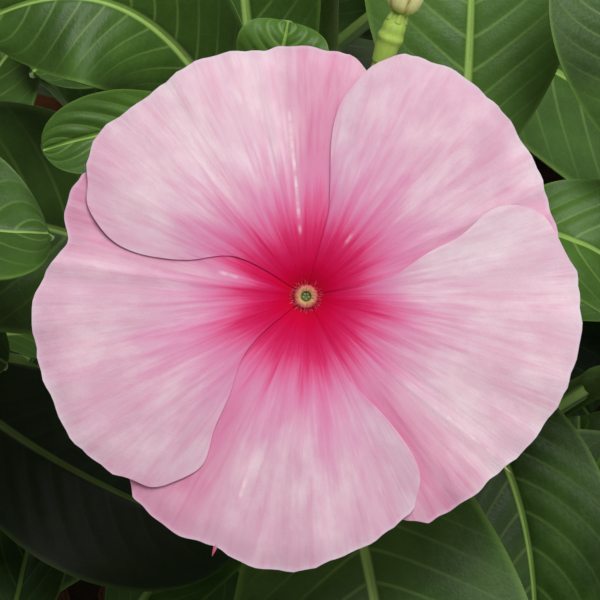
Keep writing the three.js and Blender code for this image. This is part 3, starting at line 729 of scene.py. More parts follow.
def add_blade(shape, top, bottom, slot, place, share, look, tone=(0, 0, 0)):
    """Adds a closed blade between two grids of points. Its share's third number is 1 on the underside."""
    rows, columns = top.shape[:2]
    size = rows * columns
    index = np.arange(size).reshape(rows, columns)
    under = [face[::-1] for face in grid_faces(rows, columns, start=size)]
    edge = [*index[0, :-1], *index[:-1, -1], *index[-1, :0:-1], *index[:0:-1, 0]]
    rim = [[a, a + size, b + size, b] for a, b in zip(edge, edge[1:] + edge[:1])]
    below = share + np.array([0, 0, 1.0])
    shape.add(
        np.concatenate([top.reshape(-1, 3), bottom.reshape(-1, 3)]),
        grid_faces(rows, columns) + under + [[int(corner) for corner in face] for face in rim],
        slot,
        place=np.concatenate([place.reshape(-1, 3)] * 2),
        share=np.concatenate([share.reshape(-1, 3), below.reshape(-1, 3)]),
        look=look,
        tone=tone,
    )


def across_axis(axis):
    """Two directions square to an axis."""
    side = unit(np.cross([1, 0.2, 0.1], axis))
    return side, np.cross(axis, side)


def add_tube(shape, centres, radii, sides, slot, look=(0, 0, 0)):
    """Adds a closed tube through centres, with a radius at each. Its place runs along and round it in mm."""
    centres, radii = np.asarray(centres, float), np.asarray(radii, float)
    ahead = unit(np.gradient(centres, axis=0))
    side = across_axis(ahead[0])[0]
    turns = np.arange(sides) * 2 * math.pi / sides
    rings = []
    for centre, radius, forward in zip(centres, radii, ahead):
        side = unit(side - side.dot(forward) * forward)
        other = np.cross(forward, side)
        rings.append(centre + radius * (np.outer(np.cos(turns), side) + np.outer(np.sin(turns), other)))
    steps = np.linalg.norm(np.diff(centres, axis=0), axis=1)
    along = np.concatenate([[0], np.cumsum(steps)])
    place = np.zeros((len(centres), sides, 3))
    place[..., 0] = along[:, None]
    place[..., 1] = turns * radii[:, None]
    share = np.zeros_like(place)
    share[..., 0] = (along / along[-1])[:, None]
    faces = closed_faces(len(centres), sides)
    shape.add(np.array(rings), faces, slot, place=place.reshape(-1, 3), share=share.reshape(-1, 3), look=look)


def add_turned(shape, radii, heights, sides, slot, swell=None, look=(0, 0, 0)):
    """Adds a body turned about its own +Z axis. swell changes the radius by height and turn."""
    turns = np.arange(sides) * 2 * math.pi / sides
    radii, heights = np.asarray(radii, float)[:, None], np.asarray(heights, float)[:, None]
    wide = radii * (swell(heights, turns) if swell else np.ones_like(turns))
    points = np.stack([wide * np.cos(turns), wide * np.sin(turns), heights + 0 * turns], axis=2)
    place = np.stack([wide, np.degrees(turns) + 0 * wide, heights + 0 * turns], axis=2)
    share = np.zeros_like(place)
    share[..., 0] = (heights - heights.min()) / max(np.ptp(heights), 1e-9)
    faces = closed_faces(len(radii), sides)
    shape.add(points, faces, slot, place=place.reshape(-1, 3), share=share.reshape(-1, 3), look=look)


def profile_steps(profile, count):
    """Radii and heights at even steps along a smooth curve through a profile's points."""
    radii, heights = np.array(profile, float).T
    lengths = np.concatenate([[0], np.cumsum(np.hypot(np.diff(radii), np.diff(heights)))])
    steps = np.linspace(0, lengths[-1], count)
    even_radii = np.maximum(smooth_curve(lengths, radii, steps), LEAST_RADIUS)
    return even_radii, smooth_curve(lengths, heights, steps)


def placer(centre, axis, right, size=1):
    """A change from a flower's own frame to the plant's: scaled, +Z on its axis and +X to the right."""
    ahead = unit(right - right.dot(axis) * axis)
    turn = np.stack([ahead, np.cross(axis, ahead), axis], axis=1)

    def to_plant(points):
        return (points * size) @ turn.T + centre

    return to_plant


# Materials

SMOOTH = {"interpolation_type": "SMOOTHSTEP"}
COLOURS = {"data_type": "RGBA"}
ADD = {"operation": "ADD"}
SUBTRACT = {"operation": "SUBTRACT"}
MULTIPLY = {"operation": "MULTIPLY"}
MULTIPLY_ADD = {"operation": "MULTIPLY_ADD"}
DIVIDE = {"operation": "DIVIDE"}
ABSOLUTE = {"operation": "ABSOLUTE"}
LARGER = {"operation": "MAXIMUM"}
SMALLER = {"operation": "MINIMUM"}


def add_node(material, kind, settings=None, inputs=None):
    """Adds a node with its settings. An input goes by its name or by its place among those in use, and is a
    value, a socket, or a node, which stands for the first of its outputs in use."""
    tree = material.node_tree
    node = tree.nodes.new("ShaderNode" + kind)
    for name, value in (settings or {}).items():
        if name == "stops":
            while len(node.color_ramp.elements) < len(value):
                node.color_ramp.elements.new(0.5)
            for element, (position, colour) in zip(node.color_ramp.elements, value):
                element.position = position
                element.color = (*colour, 1)
        else:
            setattr(node, name, value)
    in_use = [socket for socket in node.inputs if socket.enabled]
    for place, value in (inputs or {}).items():
        socket = in_use[place] if isinstance(place, int) else node.inputs[place]
        if isinstance(value, bpy.types.Node):
            value = next(output for output in value.outputs if output.enabled)
        if isinstance(value, bpy.types.NodeSocket):
            tree.links.new(value, socket)
        elif socket.type == "RGBA":
            socket.default_value = (*value, 1)
        else:
            socket.default_value = value
    return node


def new_material(name):
    """A material without nodes."""
    material = bpy.data.materials.new(name)
    material.use_nodes = True
    material.node_tree.nodes.clear()
    return material


def add_surface(material, values):
    """Gives the material its one shader, with these values."""
    shader = add_node(material, "BsdfPrincipled", inputs=values)
    add_node(material, "OutputMaterial", inputs={"Surface": shader})
    return material


def surface_values(material, meanings):
    """Sockets with the mesh's own numbers at each point. meanings says what each named vector holds."""
    sockets = {}
    for vector, names in meanings.items():
        found = add_node(material, "Attribute", {"attribute_name": vector})
        parts = add_node(material, "SeparateXYZ", inputs={0: found.outputs["Vector"]})
        sockets.update(zip(names, parts.outputs))
    return sockets


def kept_material(name, make, *values):
    """A material by name, made the first time that it is needed."""
    return bpy.data.materials.get(name) or make(*values)


def shade(colour, factor):
    """A colour made darker or lighter."""
    return tuple(min(part * factor, 1) for part in colour)


# Fired clay: clouds, lime, grit, and the rings that the mould and the turning tool leave, in mm
CLAY_CLOUD = 30.3
LIME_PATCH = 16.7
CLAY_GRIT = 0.625
MOULD_RING = 1.96


def clouded_clay(material, where, clay):
    """Firing leaves clouds of paler and redder clay."""
    clouds = add_node(
        material, "TexNoise", inputs={"Vector": where, "Scale": 1 / (CLAY_CLOUD * MM), "Detail": 5}
    )
    cloudy = add_node(material, "MapRange", SMOOTH, {"Value": clouds, "From Min": 0.36, "From Max": 0.66})
    return add_node(material, "Mix", COLOURS, {0: cloudy, 1: shade(clay, 0.8), 2: shade(clay, 1.16)})


def lime_share(material, where):
    """Lime dries as a patchy band where the soil ends inside, and a weaker one over the foot."""
    height = add_node(material, "SeparateXYZ", inputs={0: where}).outputs["Z"]
    patches = add_node(
        material, "TexNoise",
        inputs={
            "Vector": where, "Scale": 1 / (LIME_PATCH * MM), "Detail": 8, "Roughness": 0.75,
            "Distortion": 0.15,
        },
    )
    patchy = add_node(material, "MapRange", SMOOTH, {"Value": patches, "From Min": 0.48, "From Max": 0.7})
    under_rim = add_node(
        material, "MapRange", SMOOTH,
        {"Value": height, "From Min": 0.03, "From Max": 0.1, "To Min": 0.1, "To Max": 0.42},
    )
    foot = add_node(
        material, "MapRange", SMOOTH,
        {"Value": height, "From Min": 0.0, "From Max": 0.03, "To Min": 0.45, "To Max": 0.1},
    )
    band = add_node(material, "Math", LARGER, {0: under_rim, 1: foot})
    return add_node(material, "Math", MULTIPLY, {0: band, 1: patchy})


def terracotta(settings):
    """Fired clay, pressed in a mould: dull, porous, with lime that has dried out through the wall."""
    material = new_material("fired_clay")
    where = add_node(material, "TexCoord").outputs["Object"]
    clay = clouded_clay(material, where, settings.clay)
    limed = add_node(
        material, "Mix", COLOURS, {0: lime_share(material, where), 1: clay, 2: settings.bloom_of_lime}
    )
    grit = add_node(
        material, "TexNoise", inputs={"Vector": where, "Scale": 1 / (CLAY_GRIT * MM), "Detail": 3}
    )
    specks = add_node(
        material, "MapRange", SMOOTH,
        {"Value": grit, "From Min": 0.3, "From Max": 0.42, "To Min": 0.35, "To Max": 0.0},
    )
    speckled = add_node(material, "Mix", COLOURS, {0: specks, 1: limed, 2: linear("#7d4128")})
    rings = add_node(
        material, "TexWave", {"bands_direction": "Z"},
        {"Vector": where, "Scale": math.pi / (10 * MOULD_RING * MM), "Distortion": 1.5, "Detail": 2},
    )
    relief = add_node(material, "Math", MULTIPLY_ADD, {0: rings, 1: 0.25, 2: grit})
    bump = add_node(material, "Bump", inputs={"Strength": 0.35, "Distance": 0.0004, "Height": relief})
    return add_surface(
        material, {"Base Color": speckled, "Roughness": 0.88, "Specular IOR Level": 0.3, "Normal": bump}
    )


def soil_material(name, colour, patch, rough):
    """Peat, bark or perlite: dull crumbs whose colour changes from patch to patch."""
    material = new_material(name)
    where = add_node(material, "TexCoord").outputs["Object"]
    patches = add_node(material, "TexNoise", inputs={"Vector": where, "Scale": 1 / (patch * MM), "Detail": 6})
    mixed = add_node(material, "Mix", COLOURS, {0: patches, 1: shade(colour, 0.45), 2: shade(colour, 1.5)})
    bump = add_node(material, "Bump", inputs={"Strength": 0.8, "Distance": 0.0008, "Height": patches})
    return add_surface(
        material, {"Base Color": mixed, "Roughness": rough, "Specular IOR Level": 0.2, "Normal": bump}
    )


# Leaf: soft clouds of lighter green, the net between the veins, drawn coarse so that it shows, and its grain,
# in mm
LEAF_CLOUD = 9.1
LEAF_NET = 1.28
LEAF_GRAIN = 0.31


def leaf_veins(material, at):
    """How much of the vein colour shows: side veins that fade to the margin, and the rib at its own width."""
    near_vein = add_node(material, "Math", {"operation": "PINGPONG"}, {0: at["phase"], 1: 0.5})
    distance = add_node(material, "Math", MULTIPLY, {0: near_vein, 1: at["spacing"]})
    line = add_node(
        material, "MapRange", SMOOTH,
        {"Value": distance, "From Min": 0.04, "From Max": 0.3, "To Min": 0.3, "To Max": 0.0},
    )
    fade = add_node(
        material, "MapRange",
        inputs={"Value": at["edge"], "From Min": 0.1, "From Max": 0.97, "To Min": 1.0, "To Max": 0.12},
    )
    faded = add_node(material, "Math", MULTIPLY, {0: line, 1: fade})
    side_vein = add_node(material, "Math", MULTIPLY, {0: faded, 1: at["clearness"]})
    from_middle = add_node(material, "Math", ABSOLUTE, {0: at["across"]})
    rib_share = add_node(material, "Math", DIVIDE, {0: from_middle, 1: at["rib_width"]})
    rib = add_node(
        material, "MapRange", SMOOTH,
        {"Value": rib_share, "From Min": 0.55, "From Max": 1.35, "To Min": 0.95, "To Max": 0.0},
    )
    clear_rib = add_node(material, "Math", MULTIPLY, {0: rib, 1: at["rib_clearness"]})
    return add_node(material, "Math", LARGER, {0: side_vein, 1: clear_rib})


def leaf_upper_face(material, at, clouds, net, veins, settings):
    """Green in clouds, with the net and the veins on it and a thin yellow-green margin."""
    # How dark a leaf is drawn: partly its own tone, partly painted shade
    lightness = add_node(material, "Math", MULTIPLY_ADD, {0: at["tint"], 1: 0.55, 2: clouds})
    light_share = add_node(
        material, "MapRange", inputs={"Value": lightness, "From Min": 0.3, "From Max": 1.15}
    )
    green = add_node(material, "Mix", COLOURS, {0: light_share, 1: settings.deep, 2: settings.fresh})
    net_line = add_node(
        material, "MapRange", SMOOTH,
        {"Value": net, "From Min": 0.0, "From Max": 0.11, "To Min": 0.1, "To Max": 0.0},
    )
    net_share = add_node(material, "Math", MULTIPLY, {0: net_line, 1: at["clearness"]})
    netted = add_node(material, "Mix", COLOURS, {0: net_share, 1: green, 2: linear("#57803c")})
    veined = add_node(material, "Mix", COLOURS, {0: veins, 1: netted, 2: settings.vein})
    margin = add_node(
        material, "MapRange", SMOOTH,
        {"Value": at["edge"], "From Min": 0.93, "From Max": 1.0, "To Min": 0.0, "To Max": 0.5},
    )
    clear_margin = add_node(material, "Math", MULTIPLY, {0: margin, 1: at["rib_clearness"]})
    return add_node(material, "Mix", COLOURS, {0: clear_margin, 1: veined, 2: linear("#6d8f3c")})


def leaf_blade(settings):
    """Living leaf with a waxy skin: dark and glossy above, dull and pale below, with pale sunken veins."""
    material = new_material("waxy_leaf")
    at = surface_values(material, {
        "place": ["along", "across", "phase"],
        "share": ["reach", "side", "under"],
        "look": ["rib_width", "tint", "spacing"],
    })
    at["edge"] = add_node(material, "Math", ABSOLUTE, {0: at["side"]})
    # The darkest leaves, some of them darkened as painted shade, hardly show their veins
    at["clearness"] = add_node(
        material, "MapRange", inputs={"Value": at["tint"], "From Min": -0.5, "From Max": 0.8, "To Min": 0.06}
    )
    at["rib_clearness"] = add_node(
        material, "MapRange", inputs={"Value": at["tint"], "From Min": -0.5, "From Max": 0.5, "To Min": 0.4}
    )
    flat = add_node(material, "CombineXYZ", inputs={0: at["along"], 1: at["across"], 2: at["tint"]})
    clouds = add_node(material, "TexNoise", inputs={"Vector": flat, "Scale": 1 / LEAF_CLOUD, "Detail": 4})
    net = add_node(
        material, "TexVoronoi", {"feature": "DISTANCE_TO_EDGE"}, {"Vector": flat, "Scale": 1 / LEAF_NET}
    )
    veins = leaf_veins(material, at)
    upper = leaf_upper_face(material, at, clouds, net, veins, settings)
    lower = add_node(material, "Mix", COLOURS, {0: veins, 1: linear("#5c7f4c"), 2: linear("#93b077")})
    colour = add_node(material, "Mix", COLOURS, {0: at["under"], 1: upper, 2: lower})
    shine = add_node(
        material, "MapRange",
        inputs={"Value": clouds, "From Min": 0.3, "From Max": 0.7, "To Min": 0.4, "To Max": 0.5},
    )
    roughness = add_node(material, "Mix", {"data_type": "FLOAT"}, {0: at["under"], 1: shine, 2: 0.62})
    # Veins lie in shallow channels, and the cells between them stand up a little
    grain = add_node(material, "TexNoise", inputs={"Vector": flat, "Scale": 1 / LEAF_GRAIN, "Detail": 3})
    cells = add_node(material, "Math", MULTIPLY_ADD, {0: net, 1: 0.5, 2: grain})
    relief = add_node(material, "Math", SUBTRACT, {0: cells, 1: veins})
    bump = add_node(material, "Bump", inputs={"Strength": 0.13, "Distance": 0.0003, "Height": relief})
    return add_surface(material, {
        "Base Color": colour, "Roughness": roughness, "Specular IOR Level": 0.27, "Normal": bump,
        "Subsurface Weight": 0.12, "Subsurface Radius": (0.4, 1.0, 0.25), "Subsurface Scale": 0.0006,
    })


# Stem skin: streaks along it and small pale flecks, in mm
SKIN_STREAK = 0.56
STREAK_STRETCH = 8.3
SKIN_FLECK = 0.417


def green_skin(name, colour, dark, flecked):
    """Young plant skin, smooth and slightly waxy: long streaks along it, and a satin shine."""
    material = new_material(name)
    at = surface_values(material, {"place": ["along", "around"]})
    drawn_out = add_node(material, "Math", DIVIDE, {0: at["along"], 1: STREAK_STRETCH})
    flat = add_node(material, "CombineXYZ", inputs={0: drawn_out, 1: at["around"]})
    streaks = add_node(material, "TexNoise", inputs={"Vector": flat, "Scale": 1 / SKIN_STREAK, "Detail": 4})
    streaked = add_node(material, "Mix", COLOURS, {0: streaks, 1: dark, 2: colour})
    where = add_node(material, "TexCoord").outputs["Object"]
    flecks = add_node(
        material, "TexNoise", inputs={"Vector": where, "Scale": 1 / (SKIN_FLECK * MM), "Detail": 2}
    )
    fleck_share = add_node(
        material, "MapRange",
        inputs={"Value": flecks, "From Min": 0.55, "From Max": 0.75, "To Min": 0.0, "To Max": flecked},
    )
    mixed = add_node(material, "Mix", COLOURS, {0: fleck_share, 1: streaked, 2: linear("#c3cf8a")})
    bump = add_node(material, "Bump", inputs={"Strength": 0.25, "Distance": 0.0002, "Height": streaks})
    return add_surface(material, {
        "Base Color": mixed, "Roughness": 0.45, "Normal": bump,
        "Subsurface Weight": 0.15, "Subsurface Radius": (0.5, 1.0, 0.3), "Subsurface Scale": 0.0008,
    })


# Petal: how far apart its veins, clouds and wrinkles are, in degrees, how far the veins run unbroken, in mm,
# and its cells, drawn 0.2 mm wide so that they show
FINE_VEIN = 2
FINE_RUN = 6.25
BROAD_VEIN = 6.67
BROAD_RUN = 10
CLOUD_TURN = 16.7
PETAL_CELL = 0.2
WRINKLE_TURN = 0.77


def petal_veins(material, at):
    """Noise drawn out from the throat to the rim, fine and broad, and how far out a point is in each."""
    fine_turn = add_node(
        material, "Math", MULTIPLY_ADD, {0: at["turn"], 1: 1 / FINE_VEIN, 2: at["streak_from"]}
    )
    fine_out = add_node(material, "Math", DIVIDE, {0: at["radius"], 1: FINE_RUN})
    fine_place = add_node(material, "CombineXYZ", inputs={0: fine_turn, 1: fine_out, 2: at["streak_to"]})
    fine = add_node(
        material, "TexNoise", inputs={"Vector": fine_place, "Scale": 1.0, "Detail": 4, "Distortion": 0.3}
    )
    broad_turn = add_node(
        material, "Math", MULTIPLY_ADD, {0: at["turn"], 1: 1 / BROAD_VEIN, 2: at["streak_to"]}
    )
    broad_out = add_node(material, "Math", DIVIDE, {0: at["radius"], 1: BROAD_RUN})
    broad_place = add_node(material, "CombineXYZ", inputs={0: broad_turn, 1: broad_out, 2: at["streak_from"]})
    broad = add_node(
        material, "TexNoise", inputs={"Vector": broad_place, "Scale": 1.0, "Detail": 2, "Distortion": 0.5}
    )
    return {"fine": fine, "fine_out": fine_out, "broad": broad, "broad_out": broad_out}


def petal_flush(material, at, veins, settings):
    """Crimson to pale pink, running further out along some veins, and how far out in it a point is."""
    wander = add_node(material, "Math", MULTIPLY_ADD, {0: veins["fine"], 1: 0.7, 2: veins["broad"]})
    stretch = add_node(
        material, "MapRange",
        inputs={"Value": wander, "From Min": 0.6, "From Max": 1.1, "To Min": 1.15, "To Max": 0.85},
    )
    flushed = add_node(material, "Math", MULTIPLY, {0: at["flush"], 1: stretch})
    ramp_place = add_node(material, "Math", MULTIPLY, {0: flushed, 1: 0.4})
    colours = [
        (0.0, settings.eye), (0.1, settings.eye), (0.16, linear("#cc0040")), (0.26, settings.flush),
        (0.34, linear("#d93570")), (0.42, linear("#e06294")), (0.52, linear("#e184af")),
        (0.64, settings.blush), (0.8, linear("#e2aec9")), (1.0, settings.pale),
    ]
    return add_node(material, "ValToRGB", {"stops": colours}, {"Fac": ramp_place}), flushed


def petal_clouds(material, at, veins, body, flushed):
    """Past the flush the petal is more pale in soft clouds, and some petals more pale all over as painted
    light.
    """
    cloud_turn = add_node(
        material, "Math", MULTIPLY_ADD, {0: at["turn"], 1: 1 / CLOUD_TURN, 2: at["streak_to"]}
    )
    place = add_node(
        material, "CombineXYZ", inputs={0: cloud_turn, 1: veins["broad_out"], 2: at["streak_turn"]}
    )
    clouds = add_node(
        material, "TexNoise", inputs={"Vector": place, "Scale": 1.7, "Detail": 5, "Roughness": 0.6}
    )
    cloud_share = add_node(
        material, "MapRange",
        inputs={"Value": clouds, "From Min": 0.42, "From Max": 0.72, "To Min": 0.0, "To Max": 0.75},
    )
    # Painted light: on some petals the whole petal is made lighter
    cloud_and_light_share = add_node(material, "Math", ADD, {0: cloud_share, 1: at["paler"]})
    outer = add_node(material, "MapRange", SMOOTH, {"Value": flushed, "From Min": 1.2, "From Max": 2.4})
    cloud_and_light_out = add_node(material, "Math", MULTIPLY, {0: cloud_and_light_share, 1: outer})
    return add_node(material, "Mix", COLOURS, {0: cloud_and_light_out, 1: body, 2: linear("#f4dde4")})


def petal_pinks(material, at, veins, body, flushed):
    """Past the flush the petal is more pink along its veins, on its tucked-in side, partly as painted shade
    under its neighbour's edge, and, on some, on its other side, as painted shade where that edge curls down.
    """
    vein_share = add_node(
        material, "MapRange",
        inputs={"Value": veins["fine"], "From Min": 0.45, "From Max": 0.8, "To Min": 0.0, "To Max": 0.38},
    )
    # The tucked-in side is more pink: partly the petal's own pink, partly painted shade under the neighbour's
    # edge
    tucked = add_node(
        material, "MapRange", SMOOTH,
        {"Value": at["turn"], "From Min": -15, "From Max": 2, "To Min": 0.74, "To Max": 0.0},
    )
    to_rim = add_node(
        material, "MapRange", SMOOTH,
        {"Value": at["out"], "From Min": 0.62, "From Max": 0.95, "To Min": 1.0, "To Max": 0.65},
    )
    tucked_pink_and_shade = add_node(material, "Math", MULTIPLY, {0: tucked, 1: to_rim})
    # Painted shade: on some petals the over edge, where it curls down, is more pink
    over_edge = add_node(material, "MapRange", SMOOTH, {"Value": at["side"], "From Min": 0.6, "From Max": 1})
    side_pink_and_shade = add_node(material, "Math", MULTIPLY_ADD, {0: over_edge, 1: at["pinker"], 2: tucked_pink_and_shade})
    vein_pink_and_shade = add_node(material, "Math", ADD, {0: side_pink_and_shade, 1: vein_share})
    past_flush = add_node(material, "MapRange", SMOOTH, {"Value": flushed, "From Min": 1.15, "From Max": 1.8})
    pink_and_shade_out = add_node(material, "Math", MULTIPLY, {0: vein_pink_and_shade, 1: past_flush})
    return add_node(material, "Mix", COLOURS, {0: pink_and_shade_out, 1: body, 2: linear("#da7fa8")})


def arc_length(material, at, turn):
    """How long the arc over this many degrees is at a point's radius, in mm."""
    scaled = add_node(material, "Math", MULTIPLY, {0: turn, 1: at["radius"]})
    return add_node(material, "Math", MULTIPLY, {0: scaled, 1: math.pi / 180})


def petal_streak(material, at, veins, body):
    """The petal's pale streak: a line 0.3 mm wide that wanders along one vein and is broken in places."""
    turn_off = add_node(material, "Math", SUBTRACT, {0: at["turn"], 1: at["streak_turn"]})
    wandering = add_node(material, "Math", MULTIPLY_ADD, {0: veins["broad"], 1: 2.4, 2: turn_off})
    centred = add_node(material, "Math", SUBTRACT, {0: wandering, 1: 1.2})
    distance = add_node(material, "Math", ABSOLUTE, {0: arc_length(material, at, centred)})
    line = add_node(
        material, "MapRange", SMOOTH,
        {"Value": distance, "From Min": 0.04, "From Max": 0.24, "To Min": 1.0, "To Max": 0.0},
    )
    after_start = add_node(material, "Math", SUBTRACT, {0: at["radius"], 1: at["streak_from"]})
    before_end = add_node(material, "Math", SUBTRACT, {0: at["streak_to"], 1: at["radius"]})
    within = add_node(material, "Math", SMALLER, {0: after_start, 1: before_end})
    shown = add_node(material, "MapRange", SMOOTH, {"Value": within, "From Min": 0.0, "From Max": 1.0})
    shown_line = add_node(material, "Math", MULTIPLY, {0: line, 1: shown})
    patch_place = add_node(material, "CombineXYZ", inputs={0: at["radius"], 1: at["streak_turn"]})
    patches = add_node(material, "TexNoise", inputs={"Vector": patch_place, "Scale": 0.9, "Detail": 3})
    unbroken = add_node(
        material, "MapRange", inputs={"Value": patches, "From Min": 0.36, "From Max": 0.62, "To Min": 0.05}
    )
    streak = add_node(material, "Math", MULTIPLY, {0: shown_line, 1: unbroken})
    strength = add_node(
        material, "MapRange",
        inputs={"Value": at["radius"], "From Min": 4, "From Max": 10, "To Min": 0.25, "To Max": 0.72},
    )
    share = add_node(material, "Math", MULTIPLY, {0: streak, 1: strength})
    return add_node(material, "Mix", COLOURS, {0: share, 1: body, 2: linear("#f8e6ea")})


def petal_faces(material, at, body):
    """A thin pale rim, and an underside nearer white, the more so the further it is from the throat."""
    rim = add_node(
        material, "MapRange", SMOOTH,
        {"Value": at["out"], "From Min": 0.98, "From Max": 1.0, "To Min": 0.0, "To Max": 0.28},
    )
    rimmed = add_node(material, "Mix", COLOURS, {0: rim, 1: body, 2: linear("#efe0ee")})
    paleness = add_node(
        material, "MapRange", SMOOTH,
        {"Value": at["radius"], "From Min": 4.0, "From Max": 11.0, "To Min": 0.4, "To Max": 0.78},
    )
    below = add_node(material, "Mix", COLOURS, {0: paleness, 1: rimmed, 2: linear("#f6d8e2")})
    beneath = add_node(material, "MapRange", SMOOTH, {"Value": at["under"], "From Min": 0.6, "From Max": 1.0})
    return add_node(material, "Mix", COLOURS, {0: beneath, 1: rimmed, 2: below})


def petal_relief(material, at, veins):
    """Domed cells, veins that stand up a little, and wrinkles that run to the rim."""
    arc = arc_length(material, at, at["turn"])
    flat = add_node(material, "CombineXYZ", inputs={0: at["radius"], 1: arc, 2: at["streak_to"]})
    cells = add_node(material, "TexVoronoi", inputs={"Vector": flat, "Scale": 1 / PETAL_CELL})
    wrinkle_turn = add_node(material, "Math", DIVIDE, {0: at["turn"], 1: WRINKLE_TURN})
    place = add_node(
        material, "CombineXYZ", inputs={0: wrinkle_turn, 1: veins["fine_out"], 2: at["streak_turn"]}
    )
    wrinkles = add_node(material, "TexNoise", inputs={"Vector": place, "Scale": 1.0, "Detail": 2})
    near_rim = add_node(
        material, "MapRange", SMOOTH,
        {"Value": at["out"], "From Min": 0.6, "From Max": 1.0, "To Min": 0.1, "To Max": 0.6},
    )
    rim_wrinkles = add_node(material, "Math", MULTIPLY, {0: wrinkles, 1: near_rim})
    ridges = add_node(material, "Math", MULTIPLY_ADD, {0: veins["fine"], 1: 0.6, 2: rim_wrinkles})
    domes = add_node(material, "Math", MULTIPLY_ADD, {0: cells, 1: -0.14, 2: ridges})
    return add_node(material, "Bump", inputs={"Strength": 0.22, "Distance": 0.0003, "Height": domes})


def petal_skin(settings):
    """Petal with a velvet of tiny domed cells: dull and soft, and crimson at the throat."""
    material = new_material("velvet_petal")
    at = surface_values(material, {
        "place": ["radius", "turn", "flush"],
        "share": ["out", "side", "under"],
        "look": ["streak_turn", "streak_from", "streak_to"],
        "tone": ["paler", "pinker"],
    })
    veins = petal_veins(material, at)
    body, flushed = petal_flush(material, at, veins, settings)
    clouded = petal_clouds(material, at, veins, body, flushed)
    pink = petal_pinks(material, at, veins, clouded, flushed)
    colour = petal_faces(material, at, petal_streak(material, at, veins, pink))
    return add_surface(material, {
        "Base Color": colour, "Roughness": 0.8, "Specular IOR Level": 0.06,
        "Normal": petal_relief(material, at, veins), "Sheen Weight": 0.03, "Sheen Roughness": 0.5,
        "Subsurface Weight": 0.4, "Subsurface Radius": (1.0, 0.75, 0.85), "Subsurface Scale": 0.0004,
    })


def throat_ring():
    """The raised ring round the throat, waxy and beaded: yellow on top, salmon outside, green inside."""
    material = new_material("beaded_throat")
    at = surface_values(material, {"place": ["radius", "turn", "height"]})
    colours = [
        (0.0, linear("#2c2a10")), (0.2, linear("#7d8450")), (0.36, linear("#5c5520")),
        (0.46, linear("#c2a066")), (0.6, linear("#cf8f68")), (0.76, linear("#d9706a")),
        (1.0, linear("#b02440")),
    ]
    outwards = add_node(material, "Math", DIVIDE, {0: at["radius"], 1: EYE_RADIUS * 1.05})
    body = add_node(material, "ValToRGB", {"stops": colours}, {"Fac": outwards})
    place = add_node(material, "CombineXYZ", inputs={0: at["radius"], 1: at["turn"], 2: at["height"]})
    beads = add_node(material, "TexNoise", inputs={"Vector": place, "Scale": 0.3, "Detail": 3})
    beaded = add_node(
        material, "Mix", {**COLOURS, "blend_type": "OVERLAY"}, {0: 0.35, 1: body, 2: beads.outputs["Color"]}
    )
    bump = add_node(material, "Bump", inputs={"Strength": 0.4, "Distance": 0.0001, "Height": beads})
    return add_surface(material, {"Base Color": beaded, "Roughness": 0.5, "Normal": bump})


def furled_petal():
    """Rolled young petals, smooth and soft: cream at the foot, with green and pink running up the turns, and
    painted shade in each crease where they meet.
    """
    material = new_material("furled_petal")
    at = surface_values(material, {
        "place": ["radius", "turn", "height"], "share": ["up"], "look": ["crease"],
    })
    place = add_node(material, "CombineXYZ", inputs={0: at["turn"], 1: at["height"]})
    streaks = add_node(material, "TexNoise", inputs={"Vector": place, "Scale": 0.12, "Detail": 3})
    colours = [
        (0.0, linear("#c9e05c")), (0.12, linear("#f6f8b0")), (0.6, linear("#fdf8d4")),
        (1.0, linear("#e2aebb")),
    ]
    body = add_node(material, "ValToRGB", {"stops": colours}, {"Fac": at["up"]})
    # Painted shade: darker olive in each crease between the rolled petals
    crease_shaded = add_node(material, "Mix", COLOURS, {0: at["crease"], 1: body, 2: linear("#a5974a")})
    mixed = add_node(
        material, "Mix", {**COLOURS, "blend_type": "MULTIPLY"}, {0: streaks, 1: crease_shaded, 2: linear("#fbf7e0")}
    )
    bump = add_node(material, "Bump", inputs={"Strength": 0.2, "Distance": 0.0002, "Height": streaks})
    return add_surface(material, {
        "Base Color": mixed, "Roughness": 0.55, "Normal": bump,
        "Subsurface Weight": 0.2, "Subsurface Radius": (1.0, 0.8, 0.4), "Subsurface Scale": 0.0008,
    })


def plain_colour(name, colour, rough):
    """One even colour with a faint mottle, for hairs and the floor."""
    material = new_material(name)
    where = add_node(material, "TexCoord").outputs["Object"]
    mottle = add_node(material, "TexNoise", inputs={"Vector": where, "Scale": 9, "Detail": 3})
    mixed = add_node(material, "Mix", COLOURS, {0: mottle, 1: shade(colour, 0.97), 2: shade(colour, 1.03)})
    return add_surface(material, {"Base Color": mixed, "Roughness": rough, "Specular IOR Level": 0.2})


# Leaves and stems

def leaf_half_width(leaf, along):
    """Half the leaf's width along its rib: its stalk, its blade and the small point at its tip."""
    blade = np.maximum(0, (along - PETIOLE_SHARE) / (1 - PETIOLE_SHARE))
    outline = blade**BASE_TAPER * np.maximum(1 - blade, 0) ** TIP_ROUNDING / WIDEST
    least = np.where(along < 0.5, PETIOLE_HALF_WIDTH, MUCRO_HALF_WIDTH)
    return np.maximum(least, leaf["width"] / 2 * outline)


def leaf_directions(leaf, along):
    """Across the leaf, and square to it, at each place along its rib."""
    ahead = bezier_ahead(leaf["rib"], along)
    level = unit(np.cross(ahead, leaf["facing"]))
    roll = math.radians(leaf["roll"])
    side = level * math.cos(roll) + np.cross(ahead, level) * math.sin(roll)
    return side, np.cross(side, ahead)


